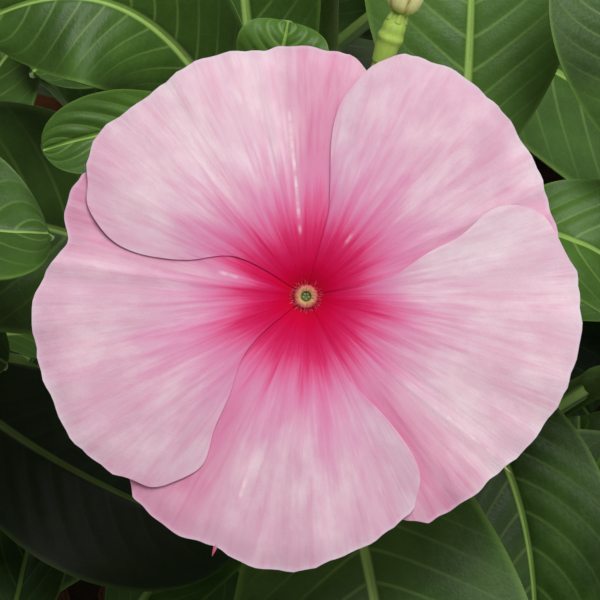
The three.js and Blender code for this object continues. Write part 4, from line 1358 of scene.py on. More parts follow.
def add_leaf(shape, leaf, thickness, relief):
    """Adds one leaf: folded up along its rib, waved at its edges, and puffed up between its side veins."""
    rows, columns = leaf["grid"]
    # Rows lie closer towards the tip, and columns towards the rib
    along = 1 - (1 - np.linspace(0, 1, rows)) ** 1.6
    even = np.linspace(-1, 1, columns)
    across = np.sign(even) * np.abs(even) ** 1.25
    size = np.abs(across)
    half = leaf_half_width(leaf, along)[:, None]
    blade = np.clip((along - PETIOLE_SHARE) / (1 - PETIOLE_SHARE), 0, 1)[:, None]
    length = np.linalg.norm(np.diff(bezier(leaf["rib"], np.linspace(0, 1, 20)), axis=0), axis=1).sum()
    # How far the upper face stands over the rib's line
    ripple = leaf["wave"] * np.sin(2 * math.pi * BLADE_WAVES * along[:, None] + leaf["phase"] + across)
    lift = size * leaf["fold"] + across**2 * ripple
    vein_count = max(FEWEST_VEINS, round(length / VEIN_SPACING))
    phase = vein_count * blade - VEIN_SWEEP * size**VEIN_CURVE
    puffed = (0.5 - 0.5 * np.cos(2 * math.pi * phase)) * np.sin(math.pi * size**0.7)
    rib_half = (RIB_HALF_WIDTH - RIB_TAPER * blade) * (RIB_LEAST_SHARE + length / RIB_FULL_LENGTH)
    channel = CHANNEL_DEPTH * np.exp(-((across * half / rib_half) ** 2)) * np.minimum(1, half / 2)
    raised = half * lift + relief * puffed * (half / half.max()) - channel
    side, normal = leaf_directions(leaf, along)
    middle = bezier(leaf["rib"], along)
    top = middle[:, None] + side[:, None] * (half * across)[..., None] + normal[:, None] * raised[..., None]
    # The blade thins towards its margin, and the rib stands out below it as a keel
    keel_line = np.exp(-((across * half / (rib_half * KEEL_SPREAD)) ** 2))
    keel = (KEEL_TIP + KEEL_FOOT * (1 - blade) ** 2) * keel_line
    depth = thickness * (1 - MARGIN_THINNING * size**4) + keel
    bottom = top - surface_normals(top) * depth[..., None]
    place = np.stack([along[:, None] * length + 0 * across, half * across, phase], axis=2)
    share = np.stack([along[:, None] + 0 * across, across + 0 * half, 0 * phase], axis=2)
    # Side veins slant, so they lie closer together than they leave the rib
    spacing = length / vein_count * VEIN_SLANT
    look = np.stack([rib_half + 0 * across, leaf["tint"] + 0 * phase, spacing + 0 * phase], axis=2)
    add_blade(shape, top, bottom, BLADE, place, share, np.concatenate([look.reshape(-1, 3)] * 2))


def seen_leaf(foot, given):
    """A leaf near the facing bloom: its rib bends over a middle point to its tip, as the viewer sees them."""
    leaf = {"roll": 0, "fold": 0.18, "wave": 0.1, "phase": 0, **given}
    leaf["rib"] = [foot, beside_bloom(given["middle"]), beside_bloom(given["tip"])]
    leaf["facing"] = TO_VIEWER
    leaf["grid"] = SEEN_LEAF
    leaf["tint"] = given.get("tint", 0.5)
    return leaf


def pair_places(pair_count, highest):
    """The share of a stem's length at each leaf pair: closer together towards the tip."""
    levels = [pair / (pair_count - 1) for pair in range(pair_count)]
    return [LOWEST_PAIR + (highest - LOWEST_PAIR) * level**PAIR_CLOSING for level in levels]


def paired_leaves(path, seed, pair_count, highest):
    """The opposite leaf pairs of a stem, each a quarter turn past the last and smaller towards the tip."""
    draws = Draws(seed)
    leaves = []
    first_turn = 360 * draws.next()
    for pair, place in enumerate(pair_places(pair_count, highest)):
        foot = bezier(path, place)
        for half in (0, 180):
            azimuth = draws.around(first_turn + PAIR_TURN * pair + half, AZIMUTH_SPREAD)
            inward = min(max(-foot.dot(heading(azimuth, 0)) / CROWDING_REACH, 0), 1)
            length = draws.around(LEAF_LENGTHS[pair], LENGTH_SPREAD) * (1 - CROWDING_LOSS * inward)
            pitch = draws.around(LEAF_PITCHES[pair], PITCH_SPREAD)
            droop = draws.around(LEAF_DROOP, DROOP_SPREAD)
            width = length * draws.around(WIDTH_SHARE, WIDTH_SPREAD)
            roll = draws.around(0, ROLL_SPREAD)
            wave = draws.around(LEAF_WAVE, WAVE_SPREAD)
            phase = draws.around(0, math.pi)
            middle = foot + heading(azimuth, pitch) * length / 2
            tip = foot + heading(azimuth, pitch - droop) * length
            leaves.append({
                "rib": [foot, middle, tip], "facing": UP, "grid": PLAIN_LEAF, "width": width, "roll": roll,
                "fold": LEAF_FOLD, "wave": wave, "phase": phase,
                "tint": (0.2 + 0.16 * pair + 0.1 * phase) % 1,
            })
    return leaves


def add_stem(shape, root, path, nodes):
    """Adds a stem's rod, from the foot of its hole in the soil to its tip, swollen at its leaf pairs."""
    share = np.linspace(0, 1, STEM_RINGS)
    foot = np.array([root[0], root[1], SOIL_TOP - HOLE_DEPTH + SEAT_GAP])
    centres = np.concatenate([[foot], bezier(path, share)])
    # The part in the soil takes the first eighth of the taper
    taper = STEM_FOOT_RADIUS + (STEM_TIP_RADIUS - STEM_FOOT_RADIUS) * (1 + 7 * share) / 8
    swell = sum(np.exp(-(((share - node) / NODE_LENGTH) ** 2)) for node in nodes)
    radii = np.concatenate([[STEM_FOOT_RADIUS], taper * (1 + NODE_SWELL * swell)])
    add_tube(shape, centres, radii, STEM_SIDES, STEM)


def add_pedicel(shape, foot, seat, axis, calyx):
    """Adds the short stalk that bends from its stem to the calyx."""
    below = seat - axis * calyx["height"] * (1 - PEDICEL_SUNK)
    bend = below - axis * np.linalg.norm(foot - below) * PEDICEL_BEND
    centres = bezier([foot, bend, below], np.linspace(0, 1, PEDICEL_RINGS))
    add_tube(shape, centres, np.full(PEDICEL_RINGS, PEDICEL_RADIUS), PEDICEL_SIDES, YOUNG_SKIN)


def add_calyx(shape, seat, axis, calyx):
    """Adds the green head that a flower stands on, with five narrow teeth round it."""
    places, widths = np.array(calyx["outline"]).T
    steps = np.linspace(places[0], places[-1], CALYX_RINGS)
    radii = smooth_curve(places, widths, steps)
    add_tube(shape, seat + axis * steps[:, None], radii, CALYX_SIDES, YOUNG_SKIN)
    side, other = across_axis(axis)
    for tooth in range(TOOTH_COUNT):
        turn = 2 * math.pi * tooth / TOOTH_COUNT
        outward = side * math.cos(turn) + other * math.sin(turn)
        rise = np.linspace(0, 1, TOOTH_RINGS)
        foot_spread = smooth_curve(places, widths, TOOTH_FOOT) - TOOTH_WIDTH * 0.8
        spread = foot_spread + TOOTH_SPREAD * calyx["tooth"] * rise**1.5
        height = TOOTH_FOOT + (calyx["tooth"] - TOOTH_FOOT) * rise
        centres = seat + outward * spread[:, None] + axis * height[:, None]
        radii = TOOTH_WIDTH * (1 - rise) ** 0.7 + TOOTH_TIP_RADIUS
        add_tube(shape, centres, radii, TOOTH_SIDES, YOUNG_SKIN)


def leaf_materials():
    """The leafy stems' materials: blade, stem and young skin."""
    settings = bpy.context.scene.periwinkle_leaf
    stem = tuple(settings.stem)
    return [
        kept_material("waxy_leaf", leaf_blade, settings),
        kept_material("stem_skin", green_skin, "stem_skin", stem, shade(stem, 0.55), 0.2),
        kept_material("young_skin", green_skin, "young_skin", linear("#c6e26a"), linear("#90b544"), 0.4),
    ]


def finish_leafy(shape, name):
    """Makes the leafy piece that stands for a stem's node."""
    piece = shape.to_object(f"leafy_stem_{name}", leaf_materials(), sharp=50)
    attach(piece, "root")
    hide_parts(f"stem_{name}")


def leaning_path(root, tip):
    """A stem's line: straight up from the soil, leaning out to its tip."""
    foot = np.array([root[0], root[1], STEM_SURFACE])
    end = np.array(tip, float)
    rise = end[2] - foot[2]
    lean = (end - foot) * np.array([1, 1, 0])
    return [foot, foot + UP * rise * LOW_RISE, end - lean * HIGH_LEAN - UP * rise * HIGH_DROP, end]


def centre_paths():
    """The middle stem's line and its branch's."""
    path = [np.array([*CENTRE_ROOT, STEM_SURFACE]), *CENTRE_BENDS]
    return path, [bezier(path, BRANCH_FROM), *BRANCH_BENDS]


def centre_bud_place():
    """Where the young bud stands, and which way it points."""
    return beside_bloom(BUD_SEAT), unit(beside_bloom(BUD_AXIS) - BLOOM_CENTRE)


def flower_place(stem):
    """Where an outer stem's stalk leaves it, where its flower stands, and which way that points."""
    path = leaning_path(stem["root"], stem["tip"])
    flower = stem["flower"]
    stalk_foot = bezier(path, STALK_FROM)
    seat = stalk_foot + heading(flower["azimuth"], STALK_PITCH) * STALK_LENGTH
    return stalk_foot, seat, heading(flower["azimuth"], 90 - flower["tilt"])


class PERIWINKLE_OT_middle_stem(bpy.types.Operator):
    """Builds the middle stem with its branch and leaves."""

    bl_idname = "periwinkle.middle_stem"
    bl_label = "Middle stem"

    def execute(self, context):
        settings = context.scene.periwinkle_leaf
        thickness, relief = settings.thickness / MM, settings.vein_relief / MM
        path, branch = centre_paths()
        seen = [(path, leaf) for leaf in CENTRE_LEAVES] + [(branch, leaf) for leaf in BRANCH_LEAVES]
        leaves = [seen_leaf(bezier(line, leaf["at"]), leaf) for line, leaf in seen]
        leaves += paired_leaves(path, CENTRE_SEED, CENTRE_PAIRS, CENTRE_PAIRS_TOP)
        shape = Shape()
        for leaf in leaves:
            add_leaf(shape, leaf, thickness, relief)
        add_stem(shape, CENTRE_ROOT, path, pair_places(CENTRE_PAIRS, CENTRE_PAIRS_TOP))
        radii = np.linspace(BRANCH_FOOT_RADIUS, STEM_TIP_RADIUS, BRANCH_RINGS)
        add_tube(shape, bezier(branch, np.linspace(0, 1, BRANCH_RINGS)), radii, STEM_SIDES, STEM)
        bloom_seat = BLOOM_CENTRE - TO_VIEWER * (BLOOM_TUBE_LENGTH + SEAT_GAP)
        bud_seat, bud_axis = centre_bud_place()
        add_pedicel(shape, bezier(path, BLOOM_STALK_FROM), bloom_seat, TO_VIEWER, CALYX)
        add_calyx(shape, bloom_seat, TO_VIEWER, CALYX)
        add_pedicel(shape, bezier(branch, BUD_STALK_FROM), bud_seat, bud_axis, YOUNG_CALYX)
        add_calyx(shape, bud_seat, bud_axis, YOUNG_CALYX)
        finish_leafy(shape, "centre")
        return {"FINISHED"}


class PERIWINKLE_OT_outer_stems(bpy.types.Operator):
    """Builds the stems round the middle one, each with its leaf pairs and its flower's stalk."""

    bl_idname = "periwinkle.outer_stems"
    bl_label = "Outer stems"

    def execute(self, context):
        settings = context.scene.periwinkle_leaf
        thickness, relief = settings.thickness / MM, settings.vein_relief / MM
        for stem in STEMS:
            path = leaning_path(stem["root"], stem["tip"])
            leaves = [seen_leaf(bezier(path, leaf["at"]), leaf) for leaf in stem["seen"]]
            pairs = paired_leaves(path, stem["seed"], stem["pairs"], HIGHEST_PAIR)
            leaves += [leaf for number, leaf in enumerate(pairs) if number not in stem["missing"]]
            shape = Shape()
            for leaf in leaves:
                add_leaf(shape, leaf, thickness, relief)
            add_stem(shape, stem["root"], path, pair_places(stem["pairs"], HIGHEST_PAIR))
            stalk_foot, seat, axis = flower_place(stem)
            add_pedicel(shape, stalk_foot, seat, axis, CALYX)
            add_calyx(shape, seat, axis, CALYX)
            finish_leafy(shape, stem["name"])
        return {"FINISHED"}


# Blooms and buds

def petal_height(petal, out, across, turn, radius, ripple):
    """How high a petal stands over its bloom's middle plane, in mm: tilted and dished, then creased along its
    middle, drooping at its rim and its over edge, tucked in at its other edge, and rippled."""
    start = petal["apex"]
    lift = smooth_step(out, PETAL_LIFT_FROM, PETAL_LIFT_TO)
    tilt = PETAL_TILT * turn / PETAL_TILT_ANGLE * lift
    dish = PETAL_DISH * np.sin(math.pi * out**PETAL_DISH_PLACE)
    throat = THROAT_DEPTH * np.exp(-((radius / THROAT_REACH) ** 2))
    rim_droop = RIM_DROOP * smooth_step(out, RIM_DROOP_FROM, 1) ** 2 * (1 - 0.8 * smooth_step(across, 0.4, 1))
    droop = petal["droop"] * smooth_step(across, SIDE_DROOP_FROM, 1) * lift + rim_droop
    tuck = UNDER_TUCK * smooth_step(-across, SIDE_DROOP_FROM, 1) * (1 - smooth_step(out, 0.15, 0.6))
    line = np.exp(-((turn / CREASE_HALF_WIDTH) ** 2))
    ridge = RIDGE_SHARE * np.exp(-(((turn - RIDGE_AT) / RIDGE_HALF_WIDTH) ** 2))
    crease = CREASE_DEPTH * (line - ridge) * smooth_step(out, 0.2, 0.7)
    # Narrow ripples that grow towards the rim, over broad ones, and both calmer at the sides
    waves = np.sin(turn * 0.42 + start) + 0.5 * np.sin(turn * 0.93 + 2 * start + 2 * out)
    folds = 1.6 * np.sin(turn * 0.17 + start - 2 * out)
    calm = 1 - 0.7 * smooth_step(np.abs(across), 0.55, 1)
    rippled = ripple * calm * (waves * out**3 + folds * out**2)
    return tilt + dish - throat - droop - tuck + crease + rippled


def add_thread(shape, petal, thickness):
    """Adds the small point that some petals grow out of their rim."""
    thread = petal["thread"]
    outward = heading(petal["apex"], 0)
    steps = np.linspace(-0.4, thread["reach"], 5)[:, None]
    foot = outward * smooth_curve(RIM_ANGLES, petal["rim"], 0) - UP * (RIM_DROOP + thickness / 2)
    radii = thread["radius"] * np.array([1, 0.9, 0.7, 0.4, 0.1])
    add_tube(shape, foot + outward * steps - UP * THREAD_DROOP * steps**2, radii, 6, thread["slot"])


def add_petal(shape, petal, grid, thickness, ripple):
    """Adds one petal in the bloom's own frame, with a scalloped rim, thinner towards its rim and sides."""
    rows, columns = grid
    # Rows lie closer towards the rim
    out = (1 - (1 - np.linspace(0, 1, rows)) ** 1.25)[:, None]
    across = np.linspace(1, -1, columns)[None, :]
    over = smooth_curve(SIDE_STEPS, petal["over_side"], out)
    under = smooth_curve(SIDE_STEPS, petal.get("under_side", UNDER_SIDE), out)
    turn = np.abs(across) * np.where(across < 0, under, over)
    start = petal["apex"]
    scallops = np.sin(0.47 * turn + start) + np.sin(1.03 * turn + 2 * start + np.sin(0.3 * turn))
    rim = smooth_curve(RIM_ANGLES, petal["rim"], turn) + SCALLOP_DEPTH * scallops * out**6
    radius = THROAT_RADIUS + (rim - THROAT_RADIUS) * out
    angle = np.radians(start + turn)
    height = petal_height(petal, out, across, turn, radius, ripple)
    top = np.stack([radius * np.cos(angle), radius * np.sin(angle), height], axis=2)
    edge = np.maximum(smooth_step(out, 0.9, 1), 1 - smooth_step(out, 0.1, 0.3))
    edge = np.maximum(edge, smooth_step(np.abs(across), 0.5, 1))
    bottom = top - surface_normals(top) * (thickness * (1 - SIDE_THINNING * edge))[..., None]
    flush = radius / smooth_curve(FLUSH_ANGLES, petal["flush"], turn)
    place = np.stack([radius, turn, flush], axis=2)
    share = np.stack([out + 0 * across, across + 0 * out, 0 * turn], axis=2)
    # A petal's tone: made lighter all over as painted light, and more pink at its over edge as painted shade
    tone = (petal.get("paler", 0), petal.get("pinker", 0), 0)
    add_blade(shape, top, bottom, PETAL, place, share, petal["streak"], tone)
    if "thread" in petal:
        add_thread(shape, petal, thickness)


def add_throat_hairs(shape):
    """Adds the ring of tiny hairs round the throat."""
    draws = Draws(THROAT_SEED)
    for hair in range(THROAT_HAIRS):
        turn = 360 * hair / THROAT_HAIRS + draws.around(0, THROAT_HAIR["stray"][0])
        start = draws.around(*THROAT_HAIR["start"])
        depth = THROAT_DEPTH * math.exp(-((start / THROAT_REACH) ** 2)) - 0.1
        foot = heading(turn, 0) * start - UP * depth
        lean = heading(turn + draws.around(0, THROAT_HAIR["stray"][1]), draws.around(*THROAT_HAIR["pitch"]))
        length = draws.around(*THROAT_HAIR["length"])
        steps = np.linspace(0, 1, HAIR_STEPS)[:, None]
        add_tube(shape, foot + lean * length * steps, THROAT_HAIR["radii"], HAIR_SIDES, HAIR)


def add_eye_hairs(shape):
    """Adds the short hairs that lie outwards over the eye ring, coloured as the ring is where each starts."""
    draws = Draws(EYE_SEED)
    for hair in range(EYE_HAIRS):
        turn = 360 * hair / EYE_HAIRS + draws.around(0, EYE_HAIR["stray"][0])
        start = draws.around(*EYE_HAIR["start"])
        length = draws.around(*EYE_HAIR["length"])
        steps = np.linspace(0, 1, HAIR_STEPS)
        # Past its crest the ring falls away
        foot = -EYE_HAIR["sunk"] - 0.5 * np.maximum(start - EYE_CREST, 0)
        points = np.outer(start + length * steps, heading(turn + draws.around(0, EYE_HAIR["stray"][1]), 0))
        points += np.outer(foot + EYE_HAIR["rise"] * steps, UP)
        add_tube(shape, points, EYE_HAIR["radii"], HAIR_SIDES, 0)
        shape.values["place"][-1] = np.full((HAIR_SIDES * HAIR_STEPS, 3), (start + 0.08, 0, 0))


def ring_beads(heights, turns):
    """How far the eye ring's beads swell it."""
    return 1 + BEAD_HEIGHT * np.sin(EYE_BEADS * turns)


def eye_shape():
    """The hairy ring round the throat, with five small lobes that nearly close it."""
    shape = Shape()
    radii, heights = profile_steps(EYE_RING, EYE_STEPS)
    add_turned(shape, radii, heights, EYE_SIDES, 0, swell=ring_beads)
    add_eye_hairs(shape)
    for lobe in range(LOBE_COUNT):
        outward = heading(360 * lobe / LOBE_COUNT + LOBE_TURN, 0)
        centre = outward * LOBE_FROM_CENTRE - UP * LOBE_DEPTH
        steps = np.linspace(-1, 1, LOBE_RINGS)
        radii = LOBE_RADIUS * np.sqrt(1 - (steps * BLUNT_END) ** 2)
        add_tube(shape, centre + np.outer(LOBE_HALF_LENGTH * steps, outward), radii, LOBE_SIDES, 0)
        shape.values["place"][-1] = np.full((LOBE_SIDES * LOBE_RINGS, 3), (LOBE_COLOUR_FROM, 0, 0))
    return shape


def bloom_materials():
    """The blooms' materials: petal, tube and hair."""
    settings = bpy.context.scene.periwinkle_bloom
    return [
        kept_material("velvet_petal", petal_skin, settings),
        kept_material("bloom_tube", green_skin, "bloom_tube", linear("#c9b48f"), linear("#9fae6a"), 0.1),
        kept_material("throat_hair", plain_colour, "throat_hair", linear("#de7090"), 0.6),
    ]


def make_bloom(name, throat, axis, right, size, grid):
    """Makes a bloom and its eye in place of their nodes."""
    settings = bpy.context.scene.periwinkle_bloom
    shape = Shape()
    for petal in PETALS:
        add_petal(shape, petal, grid, settings.thickness / MM / size, settings.ripple / MM)
    radii, heights = profile_steps(BLOOM_TUBE, TUBE_RINGS)
    add_turned(shape, radii, heights, TUBE_SIDES, TUBE)
    add_throat_hairs(shape)
    to_plant = placer(throat, axis, right, size)
    bloom = shape.to_object(f"petals_{name}", bloom_materials(), sharp=60, moved=to_plant)
    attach(bloom, "root")
    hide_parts(f"bloom_{name}")
    ring = [kept_material("beaded_throat", throat_ring)]
    eye = eye_shape().to_object(f"throat_{name}", ring, moved=to_plant)
    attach(eye, "root")
    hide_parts(f"eye_{name}")


def bud_crease(heights, turns):
    """How deep, from 0 to 1, a point lies between the five rolled petals of a bud."""
    return (1 - np.abs(np.sin(BUD_FOLDS / 2 * turns + heights * BUD_TWIST))) ** 4


def rolled_petals(heights, turns):
    """The share of a bud's radius that is left where its petals meet."""
    return 1 - BUD_CREASE * bud_crease(heights, turns)


def make_bud(name, seat, axis, profile):
    """Makes a bud of petals rolled round each other in place of its node."""
    shape = Shape()
    radii, heights = profile_steps(profile, BUD_RINGS)
    turns = np.arange(BUD_SIDES) * 2 * math.pi / BUD_SIDES
    # How deep each point lies in a crease, for the painted shade there
    crease_shade = bud_crease(heights[:, None], turns).ravel()
    look = np.stack([crease_shade, 0 * crease_shade, 0 * crease_shade], axis=1)
    add_turned(shape, radii, heights, BUD_SIDES, 0, swell=rolled_petals, look=look)
    to_plant = placer(seat + axis * SEAT_GAP, axis, TO_RIGHT)
    petals = [kept_material("furled_petal", furled_petal)]
    bud = shape.to_object(f"furled_bud_{name}", petals, moved=to_plant)
    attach(bud, "root")
    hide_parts(f"bud_{name}")


class PERIWINKLE_OT_blooms(bpy.types.Operator):
    """Builds every bloom with the eye at its throat."""

    bl_idname = "periwinkle.blooms"
    bl_label = "Blooms"

    def execute(self, context):
        make_bloom("centre", BLOOM_CENTRE, TO_VIEWER, TO_RIGHT, 1, FINE_PETAL)
        for stem in STEMS:
            flower = stem["flower"]
            if flower["kind"] == "bloom":
                _, seat, axis = flower_place(stem)
                throat = seat + axis * (SEAT_GAP + BLOOM_TUBE_LENGTH * flower["size"])
                right = heading(BLOOM_TURN * stem["seed"], 0)
                make_bloom(stem["name"], throat, axis, right, flower["size"], PLAIN_PETAL)
        return {"FINISHED"}


class PERIWINKLE_OT_buds(bpy.types.Operator):
    """Builds the young bud beside the facing bloom and the furled ones."""

    bl_idname = "periwinkle.buds"
    bl_label = "Buds"

    def execute(self, context):
        seat, axis = centre_bud_place()
        make_bud("centre", seat, axis, YOUNG_BUD)
        for stem in STEMS:
            if stem["flower"]["kind"] == "bud":
                _, seat, axis = flower_place(stem)
                make_bud(stem["name"], seat, axis, FURLED_BUD)
        return {"FINISHED"}


# Pot and soil

def pot_radius_at(settings, height):
    """Radius of the pot's outside under its rim, and over it without the rim's step, in mm."""
    top, base = settings.top_radius / MM - RIM_STEP, settings.base_radius / MM
    return base + (top - base) * height / (settings.height / MM)


def rounded(profile, radius, count=6):
    """A profile of radii and heights with its corners rounded off."""
    points = [np.array(point, float) for point in profile]
    done = [points[0]]
    for before, corner, after in zip(points, points[1:], points[2:]):
        reach = min(radius, np.linalg.norm(corner - before) / 2.1, np.linalg.norm(after - corner) / 2.1)
        start = corner + unit(before - corner) * reach
        end = corner + unit(after - corner) * reach
        done.extend(bezier([start, corner, end], np.linspace(0, 1, count)))
    return np.array([*done, points[-1]])


def pot_profile(settings):
    """The pot's section, as radii and heights: out under its foot, up, over its rim and down inside."""
    height, wall = settings.height / MM, settings.wall / MM
    rim_bottom = height - RIM_HEIGHT
    under_rim = pot_radius_at(settings, rim_bottom)
    corners = [
        (DRAIN_RADIUS, 0),
        (settings.base_radius / MM, 0),
        (under_rim, rim_bottom),
        (under_rim + RIM_STEP, rim_bottom + POT_BEVEL / 2),
        (settings.top_radius / MM, height),
        (pot_radius_at(settings, height) - wall, height),
        (pot_radius_at(settings, POT_FLOOR) - wall, POT_FLOOR),
        (DRAIN_RADIUS, POT_FLOOR),
    ]
    return rounded(corners, POT_BEVEL * 1.4)


def drain_holes():
    """The rods that cut the pot's drainage holes."""
    drains = Shape()
    for drain in range(DRAIN_COUNT):
        spot = heading(90 + 360 * drain / DRAIN_COUNT, 0) * DRAIN_FROM_CENTRE
        ends = np.array([spot - UP, spot + UP * (POT_FLOOR + 1)])
        add_tube(drains, ends, [DRAIN_RADIUS] * 2, DRAIN_SIDES, 0)
    return drains


class PERIWINKLE_OT_pot(bpy.types.Operator):
    """Builds the terracotta pot with its rim band and drainage holes."""

    bl_idname = "periwinkle.pot"
    bl_label = "Pot"

    def execute(self, context):
        settings = context.scene.periwinkle_pot
        profile = pot_profile(settings)
        shape = Shape()
        add_turned(shape, profile[:, 0], profile[:, 1], POT_SIDES, 0)
        blank = shape.to_object("pot_blank", [])
        cutter = drain_holes().to_object("drain_cutter", [])
        cut = blank.modifiers.new("drains", "BOOLEAN")
        cut.operation = "DIFFERENCE"
        cut.solver = "EXACT"
        cut.object = cutter
        mesh = bpy.data.meshes.new_from_object(blank.evaluated_get(context.evaluated_depsgraph_get()))
        for used in (blank, cutter):
            bpy.data.objects.remove(used)
        mesh.polygons.foreach_set("use_smooth", [True] * len(mesh.polygons))
        mesh.set_sharp_from_angle(angle=math.radians(35))
        mesh.materials.clear()
        mesh.materials.append(kept_material("fired_clay", terracotta, settings))
        pot = bpy.data.objects.new("terracotta_pot", mesh)
        context.scene.collection.objects.link(pot)
        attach(pot, "root")
        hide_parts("pot")
        return {"FINISHED"}


def soil_height(x, y, rim_radius):
    """Height of the soil's lumpy top, level where it meets the pot."""
    share = math.hypot(x, y) / rim_radius
    crown = SOIL_CROWN * (1 - share**2)
    # Broad lumps, with coarse and fine crumbs over them
    lumps = SOIL_LUMP * math.sin(x / 4.1 + 1) * math.cos(y / 5.3)
    crumbs = noise.noise(Vector((x, y, 0)) * 0.42) * 0.8 + noise.noise(Vector((x, y, 7)) * 1.1) * 0.45
    return SOIL_TOP + crown + (lumps + crumbs) * min(1, 6 * (1 - share))


def add_soil_body(shape, rim_radius, floor_radius):
    """Adds the soil that fills the pot, with its lumpy top."""
    turns = np.arange(SOIL_SIDES) * 2 * math.pi / SOIL_SIDES
    rings = [[(floor_radius * share, POT_FLOOR + SEAT_GAP) for _ in turns] for share in (0.01, 0.6, 1)]
    rings += [[(rim_radius, SOIL_TOP - 1) for _ in turns]]
    for share in np.linspace(0.995, 0.01, SOIL_RINGS):
        reach = rim_radius * share
        heights = [soil_height(reach * math.cos(turn), reach * math.sin(turn), rim_radius) for turn in turns]
        rings.append([(reach, height) for height in heights])
    rings = np.array(rings)
    points = np.stack([rings[..., 0] * np.cos(turns), rings[..., 0] * np.sin(turns), rings[..., 1]], axis=2)
    shape.add(points, closed_faces(len(rings), len(turns)), PEAT)


def tilted_turn(turn, tilt):
    """Rows that turn points by an angle about the vertical and tilt them about the level."""
    return np.array([
        [math.cos(turn), math.sin(turn), 0],
        [-math.sin(turn) * math.cos(tilt), math.cos(turn) * math.cos(tilt), math.sin(tilt)],
        [math.sin(turn) * math.sin(tilt), -math.cos(turn) * math.sin(tilt), math.cos(tilt)],
    ])


def add_crumb(shape, centre, sizes, turn, slot, seed):
    """Adds one irregular crumb: a rounded lump with three sizes, turned and tilted."""
    draws = Draws(seed)
    steps = np.linspace(-1, 1, CRUMB_RINGS)[:, None]
    turns = np.arange(CRUMB_SIDES) * 2 * math.pi / CRUMB_SIDES
    uneven = np.array([[draws.around(0, 1) for _ in turns] for _ in steps])
    wide = np.sqrt(np.maximum(1 - (steps * BLUNT_END) ** 2, 0)) * (1 + CRUMB_ROUGHNESS * uneven)
    lump = np.stack([wide * np.cos(turns), wide * np.sin(turns), steps + 0 * turns], axis=2) * sizes
    tilt = draws.around(0, CRUMB_TILT)
    points = lump.reshape(-1, 3) @ tilted_turn(turn, tilt) + centre
    shape.add(points, closed_faces(CRUMB_RINGS, CRUMB_SIDES), slot)


def add_crumbs(shape, rim_radius, dark_count, white_count):
    """Scatters crumbs of peat, with a chip of bark now and then, and then the white grains."""
    draws = Draws(SOIL_SEED)
    for number in range(dark_count + white_count):
        reach = rim_radius * CRUMB_REACH * math.sqrt(draws.next())
        turn = 2 * math.pi * draws.next()
        x, y = reach * math.cos(turn), reach * math.sin(turn)
        kind = PEAT_CRUMB
        if number >= dark_count:
            kind = PERLITE_GRAIN
        elif number % CHIP_EVERY == 0:
            kind = BARK_CHIP
        size = draws.around(*kind["size"])
        sizes = (size, size * kind["wide"], size * kind["high"])
        centre = np.array([x, y, soil_height(x, y, rim_radius) + sizes[2] * CRUMB_SUNK])
        add_crumb(shape, centre, sizes, draws.around(0, math.pi), kind["slot"], number + 1)


class PERIWINKLE_OT_soil(bpy.types.Operator):
    """Builds the potting mix with its crumbs of bark and its white grains."""

    bl_idname = "periwinkle.soil"
    bl_label = "Soil"

    def execute(self, context):
        pot = context.scene.periwinkle_pot
        settings = context.scene.periwinkle_soil
        inset = pot.wall / MM + SEAT_GAP
        rim_radius = pot_radius_at(pot, SOIL_TOP) - inset
        shape = Shape()
        add_soil_body(shape, rim_radius, pot_radius_at(pot, POT_FLOOR) - inset)
        add_crumbs(shape, rim_radius, settings.crumbs, settings.perlite)
        materials = [
            kept_material("damp_peat", soil_material, "damp_peat", tuple(settings.peat), 2.5, 0.95),
            kept_material("bark_chip", soil_material, "bark_chip", tuple(settings.bark), 1.2, 0.85),
            kept_material("perlite", soil_material, "perlite", linear("#c9c4b8"), 1.0, 0.9),
        ]
        soil = shape.to_object("potting_mix", materials)
        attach(soil, "root")
        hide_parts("soil")
        return {"FINISHED"}


# Stage

def aim(thing, place, target):
    """Stands a lamp or camera at a place and points it at another, in metres."""
    thing.location = place
    thing.rotation_euler = (Vector(target) - Vector(place)).to_track_quat("-Z", "Y").to_euler()


def add_lamp(name, power, place, size):
    """Adds a round lamp that lights the plant and isn't seen itself."""
    light = bpy.data.lights.new(name, "AREA")
    light.energy = power
    light.shape = "DISK"
    light.size = size
    lamp = bpy.data.objects.new(name, light)
    bpy.context.scene.collection.objects.link(lamp)
    aim(lamp, place, LAMP_TARGET)
    lamp.visible_camera = False


def add_floor(colour):
    """Adds a wide level card under the pot."""
    mesh = bpy.data.meshes.new("floor")
    corners = [(x, y, 0) for x, y in ((-1, -1), (1, -1), (1, 1), (-1, 1))]
    mesh.from_pydata([(x * FLOOR_REACH, y * FLOOR_REACH, z) for x, y, z in corners], [], [(0, 1, 2, 3)])
    mesh.materials.append(plain_colour("floor_card", tuple(colour), 0.9))
    floor = bpy.data.objects.new("floor", mesh)
    bpy.context.scene.collection.objects.link(floor)
    return floor


def add_world():
    """Lights the whole scene evenly and faintly, a little warm."""
    world = bpy.data.worlds.new("studio")
    world.use_nodes = True
    background = world.node_tree.nodes["Background"]
    background.inputs["Color"].default_value = (*WORLD_COLOUR, 1)
    background.inputs["Strength"].default_value = WORLD_STRENGTH
    bpy.context.scene.world = world


def add_camera():
    """Adds the camera over the facing bloom."""
    lens = bpy.data.cameras.new("view")
    lens.sensor_width = SENSOR_WIDTH
    lens.lens = SENSOR_WIDTH * CAMERA_DISTANCE / SEEN_WIDTH
    lens.clip_start = 0.01
    camera = bpy.data.objects.new("view", lens)
    bpy.context.scene.collection.objects.link(camera)
    middle = BLOOM_CENTRE + PICTURE_MIDDLE[0] * TO_RIGHT + PICTURE_MIDDLE[1] * TO_TOP
    aim(camera, (middle + TO_VIEWER * CAMERA_DISTANCE) * MM, middle * MM)
    bpy.context.scene.camera = camera


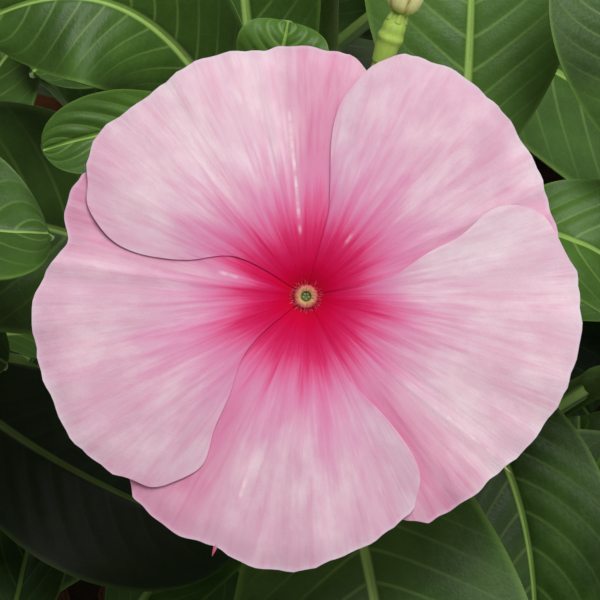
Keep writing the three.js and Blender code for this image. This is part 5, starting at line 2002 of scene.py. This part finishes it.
class PERIWINKLE_OT_stage(bpy.types.Operator):
    """Builds the floor, the light and the camera."""

    bl_idname = "periwinkle.stage"
    bl_label = "Stage"

    def execute(self, context):
        settings = context.scene.periwinkle_stage
        floor = add_floor(settings.floor)
        add_world()
        add_lamp("key_lamp", power=settings.key_power, **KEY_LAMP)
        add_lamp("fill_lamp", power=settings.fill_power, **FILL_LAMP)
        add_camera()
        context.scene.view_settings.view_transform = "Standard"
        return {"FINISHED"}


OPERATORS = [
    PERIWINKLE_OT_pot,
    PERIWINKLE_OT_soil,
    PERIWINKLE_OT_middle_stem,
    PERIWINKLE_OT_outer_stems,
    PERIWINKLE_OT_blooms,
    PERIWINKLE_OT_buds,
    PERIWINKLE_OT_stage,
]


class PERIWINKLE_PT_panel(bpy.types.Panel):
    """Lists the settings and the operators."""

    bl_idname = "PERIWINKLE_PT_panel"
    bl_label = "Periwinkle"
    bl_space_type = "VIEW_3D"
    bl_region_type = "UI"
    bl_category = "Periwinkle"

    def draw(self, context):
        for name, group in SETTINGS.items():
            box = self.layout.box()
            for setting in group.__annotations__:
                box.prop(getattr(context.scene, name), setting)
        for operator in OPERATORS:
            self.layout.operator(operator.bl_idname)


def register():
    for group in SETTINGS.values():
        bpy.utils.register_class(group)
    for name, group in SETTINGS.items():
        setattr(bpy.types.Scene, name, PointerProperty(type=group))
    for operator in OPERATORS:
        bpy.utils.register_class(operator)
    bpy.utils.register_class(PERIWINKLE_PT_panel)


def unregister():
    bpy.utils.unregister_class(PERIWINKLE_PT_panel)
    for operator in reversed(OPERATORS):
        bpy.utils.unregister_class(operator)
    for name in SETTINGS:
        delattr(bpy.types.Scene, name)
    for group in SETTINGS.values():
        bpy.utils.unregister_class(group)


def main():
    register()
    bpy.ops.periwinkle.pot()
    bpy.ops.periwinkle.soil()
    bpy.ops.periwinkle.middle_stem()
    bpy.ops.periwinkle.outer_stems()
    bpy.ops.periwinkle.blooms()
    bpy.ops.periwinkle.buds()
    bpy.ops.periwinkle.stage()


if __name__ == "__main__":
    main()
